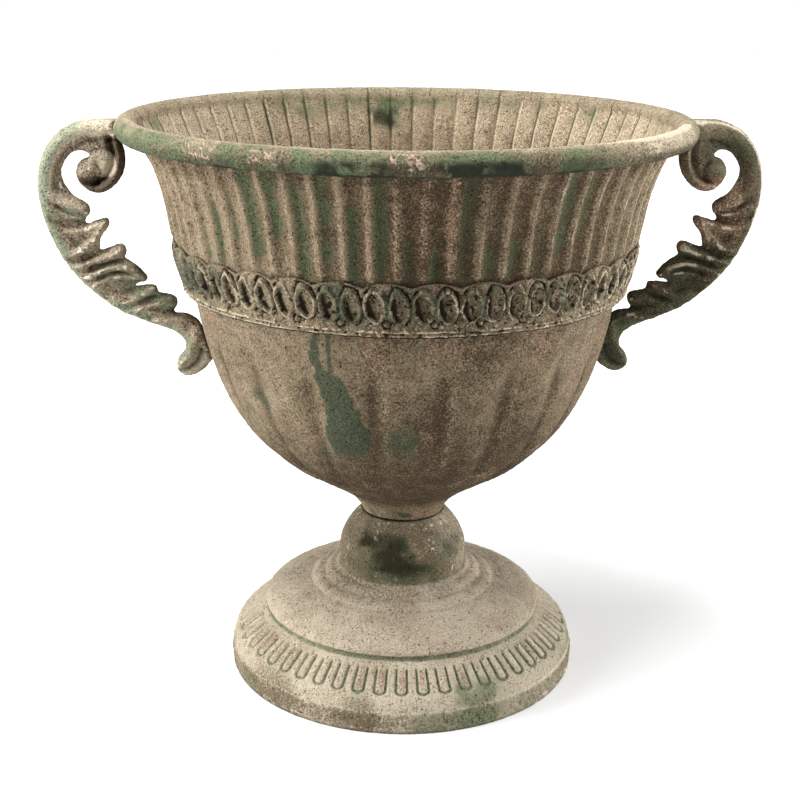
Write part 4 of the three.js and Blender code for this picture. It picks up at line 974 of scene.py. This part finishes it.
def scroll_pattern():
    """The casting's surface at +X, and for each vertex its distance from the back and how far it stands proud."""
    across, up = (np.arange(start, end, CAST_CELL) for start, end in zip(CAST_CORNER, CAST_FAR_CORNER))
    sheet = np.stack(np.meshgrid(across, up, indexing="ij"), -1)
    thickness, from_back = scroll_thickness(sheet)
    proud = np.clip(thickness, 0, 20) - blurred(np.clip(thickness, 0, 20), 24)
    points, quads, spot = cast_skin(thickness, CAST_CORNER, CAST_CELL, CAST_LAYERS)
    points = points + 0.42 * facing(points, quads) * sand_crust(points)[:, None]
    return points, quads, from_back[spot], proud[spot]


def scroll_handle(name, side, pattern, paint, stained):
    points, quads, from_back, proud = pattern
    handle = new_piece(name, points * (side, side, 1), quads)
    r, z = points[:, 0], points[:, 2]
    verdigris, shade, dark, rust, pale_spots = stained(points, from_back, proud)
    # Darker in the hollows, dirt and painted shade; paler on the proud ridges away from the volute.
    wash(handle, "recess", np.minimum(0.5 * rise(-proud, 0.3, 2.2) + dark, 0.85))
    wash(handle, "rust", 0.35 * rise(lumps(points + side * 40, 13, 64), 0.0, 0.5) + rust)
    wash(handle, "crest", 0.5 * rise(proud, 0.5, 1.6) * rise(np.hypot(r - 208, z - 377), 19, 24) + pale_spots)
    wash(handle, "verdigris", verdigris * (1 - 0.6 * rise(proud, 0.6, 1.6) * rise(from_back, 5, 8)))
    wash(handle, "shade", shade)
    handle.data.materials.append(paint)
    return handle


def left_stains(points, from_back, _):
    """Verdigris, shade, dark hollows, rust and spots of wear of the left casting; the volute's outer turn is
    darkened as painted shade.
    """
    r, z = points[:, 0], points[:, 2]
    patches = lumps(points, 15, 61)
    along_back = (1 - rise(from_back, 6, 11)) * rise(z, 285, 330) * rise(r, 214, 232)
    low = (1 - rise(from_back, 3, 8)) * (1 - rise(z, 290, 320))
    leafy = rise(z, 235, 250) * (1 - rise(z, 345, 355))
    leaves = rise(lumps(points, 9, 62), -0.1, 0.6) * leafy
    tips = rise(from_back, 11, 17) * (1 - rise(z, 300, 318)) * rise(z, 262, 274)
    inner_stem = rise(from_back, 9, 12.5) * rise(z, 350, 360)
    from_volute = np.hypot(r - 209, z - 377)
    volute = 1 - rise(from_volute, 19, 23)
    outer_turn = volute * rise(from_volute, 6.5, 10) * (1 - rise(r, 205, 214) * rise(z, 364, 374))
    bud = 1 - rise(np.hypot(r - BUD[0], z - BUD[1]), 6, 9)
    inside_volute = volute * (1 - rise(from_volute, 8, 11)) * (1 - bud)
    foot = 1 - rise(z, 236, 246)
    verdigris = along_back * (0.85 + 0.35 * patches) + 0.5 * low + 0.8 * leaves + 0.7 * tips
    verdigris += 0.3 * volute * rise(patches, 0, 0.5)
    # The volute's outer turn gets shade and dark, painted shade where it faces away from the light.
    shade = np.maximum(0.7 * inner_stem, 0.9 * outer_turn + 0.4 * bud) + 0.25 * foot + 0.4 * leafy
    shade -= 0.8 * inside_volute
    dark = 0.6 * outer_turn + 0.2 * bud + 0.3 * foot * rise(patches, -0.2, 0.2) + 0.25 * tips
    dark += 0.3 * leafy * rise(lumps(points, 6, 66), 0, 0.4)
    dark *= 1 - 0.7 * inside_volute
    rust = 0.3 * (1 - rise(r, 205, 220)) * rise(z, 385, 395)
    pale_marks = 0.7 * rise(lumps(points, 2.6, 65), 0.25, 0.55) * (1 - outer_turn)
    return verdigris, shade, dark, rust, pale_marks


def right_stains(points, from_back, proud):
    """Verdigris, shade, dark hollows, rust and pale spots of the right casting; the pale spots are wear and
    painted highlights.
    """
    z = points[:, 2]
    patches = lumps(points, 15, 63)
    # The edge, arris, lug, fold_light and ridge_light masks are painted highlights with some wear: they lighten
    # the paint.
    edge = (1 - rise(from_back, 1.5, 4)) * rise(z, 300, 340)
    low = 1 - rise(z, 285, 335)
    lug = rise(z, 388, 398)
    arris = (1 - rise(from_back, 1.5, 3.2)) * rise(z, 280, 320) * rise(np.abs(points[:, 1]), 2, 4.5)
    arris *= 0.85 + 0.25 * patches
    volute = 1 - rise(np.hypot(points[:, 0] - 211, z - 374), 17, 22)
    fold_light = rise(lumps(points, 5, 68), 0.2, 0.5) * rise(z, 300, 315) * (1 - rise(z, 330, 345))
    ridge_light = rise(proud, 0.9, 2) * rise(lumps(points, 5, 69), -0.2, 0.4)
    ridge_light *= rise(z, 285, 300) * (1 - rise(z, 340, 350))
    foot_light = (1 - rise(z, 230, 238)) * rise(patches, -0.5, 0.2)
    red_leaves = rise(z, 312, 322) * (1 - rise(z, 362, 372)) * rise(patches, -0.6, 0.1) * rise(from_back, 5, 10)
    verdigris = 0.4 + 0.4 * patches - 0.3 * edge - 0.5 * arris + 0.4 * low - 0.5 * red_leaves
    verdigris += 0.3 * rise(z, 375, 390)
    shade = 0.65 - 0.35 * edge + 0.5 * low - 0.4 * volute - 0.8 * lug
    dark = 0.3 * low * rise(patches, -0.2, 0.6) - 0.6 * arris
    rust = 0.6 * red_leaves + 0.3 * volute
    pale_marks = 0.9 * arris + 0.6 * lug * rise(patches, -0.2, 0.4) + 0.5 * rise(lumps(points, 2.6, 67), 0.35, 0.6)
    pale_marks += 0.45 * (fold_light + 1.6 * ridge_light + 1.5 * foot_light)
    return verdigris, shade, dark, rust, pale_marks


scroll = scroll_pattern()
left_paint = sandy_paint(
    "left_casting_paint", pale=colour(232, 221, 199), body=colour(197, 183, 158), dark=colour(96, 80, 60),
    green=colour(160, 168, 140), grime_and_shade=colour(44, 35, 24))
right_paint = sandy_paint(
    "right_casting_paint", pale=colour(196, 186, 162), body=colour(132, 120, 98), dark=colour(74, 62, 46),
    green=colour(96, 100, 76), grime_and_shade=colour(38, 34, 24))
for node, side, paint, stained in (("handle_left", -1, left_paint, left_stains),
                                   ("handle_right", 1, right_paint, right_stains)):
    handle = scroll_handle("cast_scroll_" + node[7:], side, scroll, paint, stained)
    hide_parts(node)
    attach(handle, "root")

# Handle screws: one in the foot of each handle, driven from inside the bowl over a washer. They are plated
# with zinc as the tie bolt is, and they keep their CAD solids.
for fixing in ("handle_screw_left", "handle_screw_right", "screw_washer_left", "screw_washer_right"):
    dress(fixing, plating)


# Floor: a plain white studio floor. The camera sees it a little brighter than it is lit, so that it runs
# out to white and keeps only the urn's soft shadow.
def seen_directly(tree):
    """1 for what the camera sees, also by way of gloss or glass, and 0 for the light that falls on the urn."""
    paths = put(tree, "ShaderNodeLightPath").outputs
    by_way = figure(tree, "MAXIMUM", paths["Is Glossy Ray"], paths["Is Transmission Ray"])
    return figure(tree, "MAXIMUM", paths["Is Camera Ray"], by_way)


def studio_floor():
    material, tree, place = new_material("studio_white")
    matt = put(tree, "ShaderNodeBsdfDiffuse", Color=(0.6, 0.6, 0.6, 1))
    from_urn = put(tree, "ShaderNodeVectorMath", {"operation": "LENGTH"}, Vector=place).outputs["Value"]
    level = figure(tree, "ADD", 0.44, summed(tree, (between(tree, from_urn, 0.35, 1.1), 0.56)))
    strength = figure(tree, "MULTIPLY", seen_directly(tree), level)
    glow = put(tree, "ShaderNodeEmission", Color=(1, 1, 1, 1), Strength=strength)
    both = put(tree, "ShaderNodeAddShader")
    tree.links.new(matt.outputs[0], both.inputs[0])
    tree.links.new(glow.outputs[0], both.inputs[1])
    put(tree, "ShaderNodeOutputMaterial", Surface=both.outputs[0])
    corners = np.array([(-6000, -6000, 0), (6000, -6000, 0), (6000, 6000, 0), (-6000, 6000, 0)], float)
    floor = new_piece("studio_floor", corners, np.array([[0, 1, 2, 3]]))
    floor.data.materials.append(material)


studio_floor()


# Light: two tall soft boxes at the sides, the left one stronger, a broad one above, and a pale room that
# fills the shadows and is white where the camera sees it.
def soft_box(name, place, target, width, height, power):
    light = bpy.data.lights.new(name, "AREA")
    light.shape = "RECTANGLE"
    light.size = width
    light.size_y = height
    light.energy = power
    box = bpy.data.objects.new(name, light)
    box.location = place
    box.rotation_euler = (Vector(target) - Vector(place)).to_track_quat("-Z", "Y").to_euler()
    bpy.context.scene.collection.objects.link(box)


soft_box("left_box", (-2.7, -0.5, 1.25), (0, 0, 0.22), 1.5, 2, 106)
soft_box("right_box", (2.7, -0.35, 1.0), (0, 0, 0.2), 1.5, 2, 76)
soft_box("top_box", (-0.4, -0.35, 2.8), (0, 0, 0.1), 1.4, 1.2, 94)


def pale_room():
    world = bpy.data.worlds.new("pale_room")
    bpy.context.scene.world = world
    world.use_nodes = True
    tree = world.node_tree
    tree.nodes.clear()
    strength = figure(tree, "ADD", 0.2, summed(tree, (seen_directly(tree), 0.8)))
    sky = put(tree, "ShaderNodeBackground", Color=(1, 1, 1, 1), Strength=strength)
    put(tree, "ShaderNodeOutputWorld", Surface=sky.outputs[0])


pale_room()
bpy.context.scene.view_settings.view_transform = "Standard"

# Camera: at the photograph's place, a metre away, turned a little left of the urn's front and looking down
# by about eighteen degrees.
TILT = 17.663
ROLL = 0.5035
LENS = 63.7056
CAMERA_PLACE = (-0.00286, -0.9948, 0.5193)
camera_data = bpy.data.cameras.new("camera")
camera_data.sensor_width = 36
camera_data.lens = LENS
camera_data.clip_start = 0.01
camera_data.clip_end = 50
camera = bpy.data.objects.new("camera", camera_data)
turn = Matrix.Rotation(math.radians(-CAMERA_TURN), 4, "Z")
aim = Matrix.Rotation(math.radians(90 - TILT), 4, "X") @ Matrix.Rotation(math.radians(ROLL), 4, "Z")
camera.matrix_world = turn @ Matrix.Translation(CAMERA_PLACE) @ aim
bpy.context.scene.collection.objects.link(camera)
bpy.context.scene.camera = camera
